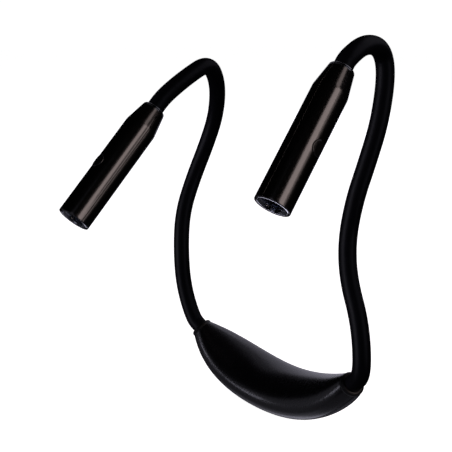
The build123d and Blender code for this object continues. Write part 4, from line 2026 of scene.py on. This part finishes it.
@dataclass
class Studio:
    """The plain pale floor, the soft lights and the camera at the photograph's angle."""

    eye: Vector = field(default_factory=lambda: Vector((0.3618, -0.3636, 0.2040)))
    back: Vector = field(default_factory=lambda: Vector((0.7290, -0.6502, 0.2141)).normalized())
    right: Vector = field(default_factory=lambda: Vector((0.6656, 0.7463, 0.0)).normalized())
    lens: float = 71.68
    middle: Vector = field(default_factory=lambda: Vector((-0.005, -0.04, 0.09)))
    sensor: float = 36.0
    clip: float = 0.02
    floor_level: float = -0.0221
    floor_half: float = 9.0
    paper: Place = (0.9, 0.93)
    paper_pitch: float = 400.0
    backdrop: float = 1.05
    room: float = 0.002
    boxes: tuple[SoftBox, ...] = (
        SoftBox("key", 43.0, 8.0, (25.0, 40.0), 4.9, WARM, 12.0, 1.4),
        SoftBox("key_top", 57.0, 39.0, (17.0, 24.0), 2.4, WARM, 27.0, 1.4),
        SoftBox("right_spill", 59.0, 0.0, (13.0, 40.0), 1.5, WARM, 12.0, only=RIGHT_SHELLS),
        SoftBox("left_spill", 65.0, -1.0, (17.0, 40.0), 4.0, WARM, 12.0, only=LEFT_SHELLS, blocked=False),
        SoftBox("left", -100.0, 13.0, (50.0, 22.0), 0.23, COOL),
        SoftBox("left_fill", -95.0, -16.0, (64.0, 36.0), 0.18, COOL),
        SoftBox("left_low", -70.0, -6.0, (13.0, 14.0), 2.2, COOL, skips=("_sleeve", "pod_neck_shell")),
        SoftBox("backdrop", 166.0, 25.0, (36.0, 66.0), 0.6, COOL),
        SoftBox("ceiling", 168.0, 68.0, (34.0, 18.0), 0.22, COOL),
        SoftBox("sweep", -168.0, -50.0, (30.0, 16.0), 0.9, COOL),
        SoftBox("table", 0.0, -88.0, (110.0, 110.0), 0.15, COOL, reach=0.9),
        SoftBox("table_back", -145.0, -54.0, (50.0, 36.0), 0.3, COOL),
        SoftBox("front", -16.0, 5.0, (20.0, 60.0), 0.7, COOL, skips=("_sleeve", "_lens_ring")),
        SoftBox("right_back", 115.0, 42.0, (44.0, 26.0), 1.5, COOL),
        SoftBox("under_on_rings", -160.0, -46.0, (26.0, 24.0), 1.6, COOL, only=("_lens_ring",)),
        SoftBox("streak_on_pod", -84.0, 4.0, (12.0, 6.0), 6.5, COOL, 25.0, only=("pod_neck_shell",)),
        SoftBox("key_on_arms", 50.0, 5.0, (30.0, 60.0), 0.18, COOL, only=("_sleeve",)),
        SoftBox("left_on_arms", -70.0, 0.0, (30.0, 60.0), 0.58, COOL, only=("_sleeve",)),
        SoftBox("back_on_arms", 110.0, 35.0, (60.0, 40.0), 0.1, COOL, only=("_sleeve",)),
    )

    def hang(self, box: SoftBox, pieces: Sequence[bpy.types.Object]) -> None:
        """Hangs a soft box, unseen by the camera itself.

        Args:
            box: The soft box.
            pieces: The pieces that it may light alone or leave out.
        """
        lamp = bpy.data.lights.new(box.name, "AREA")
        lamp.shape = "RECTANGLE"
        lamp.size, lamp.size_y = box.size
        lamp.energy = box.radiance * math.pi * lamp.size * lamp.size_y
        lamp.color = box.colour
        lamp.use_shadow = box.blocked
        holder = show(box.name, lamp)
        upward = self.back.cross(self.right)
        turn, rise, lean = (math.radians(angle) for angle in (box.turn, box.rise, box.lean))
        level = self.right * math.sin(turn) + self.back * math.cos(turn)
        away = level * math.cos(rise) + upward * math.sin(rise)
        side = upward.cross(level)
        tall = away.cross(side) * math.cos(lean) + side * math.sin(lean)
        axes = Matrix((tall.cross(away), tall, away)).transposed().to_4x4()
        holder.matrix_world = Matrix.Translation(self.middle + away * box.reach) @ axes
        holder.visible_camera = False
        linked = bpy.data.collections.new(f"{box.name}_linked")
        for piece in pieces:
            if any(word in piece.name for word in box.only or box.skips):
                linked.objects.link(piece)
        holder.light_linking.receiver_collection = linked
        for entry in linked.collection_objects:
            entry.light_linking.link_state = "INCLUDE" if box.only else "EXCLUDE"

    def camera(self) -> None:
        """Sets up the camera."""
        data = bpy.data.cameras.new("camera")
        data.lens = self.lens
        data.sensor_width = self.sensor
        data.clip_start = self.clip
        holder = show("camera", data)
        turn = Matrix((self.right, self.back.cross(self.right), self.back)).transposed().to_4x4()
        holder.matrix_world = Matrix.Translation(self.eye) @ turn
        bpy.context.scene.camera = holder

    def paper_surface(self, sheet: NodeSheet) -> dict[str, object]:
        """Pale paper, bright enough to stay white under the soft lights.

        Args:
            sheet: The material's sheet.

        Returns:
            Values and terms by socket name.
        """
        low, high = ((tone, tone, tone) for tone in self.paper)
        return {
            "Base Color": sheet.blend(sheet.noise(self.paper_pitch), low, high),
            "Roughness": 0.9,
            "Specular IOR Level": 0.0,
            "Emission Color": (1.0, 1.0, 1.0, 1.0),
            "Emission Strength": 1.0,
        }

    def floor(self) -> None:
        """Lays the floor."""
        mesh = bpy.data.meshes.new("floor")
        half, level = self.floor_half, self.floor_level
        corners = [(-half, -half, level), (half, -half, level), (half, half, level), (-half, half, level)]
        mesh.from_pydata(corners, [], [(0, 1, 2, 3)])
        mesh.materials.append(coating("floor_paper", self.paper_surface))
        floor = show("floor", mesh)
        floor.visible_glossy = floor.visible_diffuse = floor.visible_shadow = False
        floor.visible_transmission = False

    def world(self) -> None:
        """White behind the object, and a dark room round it."""
        world = bpy.data.worlds.new("room")
        world.use_nodes = True
        sheet = NodeSheet(world.node_tree)
        seen = sheet.node("ShaderNodeLightPath", {}, {})
        glow = {"Color": (1.0, 1.0, 1.0, 1.0), "Strength": self.backdrop * seen + self.room}
        room = sheet.node("ShaderNodeBackground", {}, glow)
        sheet.node("ShaderNodeOutputWorld", {}, {"Surface": room})
        bpy.context.scene.world = world
        bpy.context.scene.view_settings.view_transform = "Standard"

    def build(self, pieces: Sequence[bpy.types.Object]) -> None:
        """Sets up the studio.

        Args:
            pieces: The pieces that some soft boxes light alone or leave out.
        """
        self.camera()
        self.floor()
        self.world()
        for box in self.boxes:
            self.hang(box, pieces)


def main() -> None:
    """Builds the light and its studio."""
    logging.basicConfig(level=logging.INFO, format="%(name)s: %(message)s")
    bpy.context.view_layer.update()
    tube, ring = PathTube(), RingOfItems()
    form = PodForm()
    pieces = Pod(form).build()
    for name, route in (("left", LEFT_ROUTE), ("right", RIGHT_ROUTE)):
        pieces += Arm(name, route, form).build(tube)
        pieces += Head(name, route.head_place(form, HeadForm().length)).build(ring)
    for piece in pieces:
        LOG.info("%s: %d faces", piece.name, len(piece.data.polygons))
    LOG.info("%d packed nodes dressed", dress_inside(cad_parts))
    Studio().build(pieces)


if __name__ == "__main__":
    main()
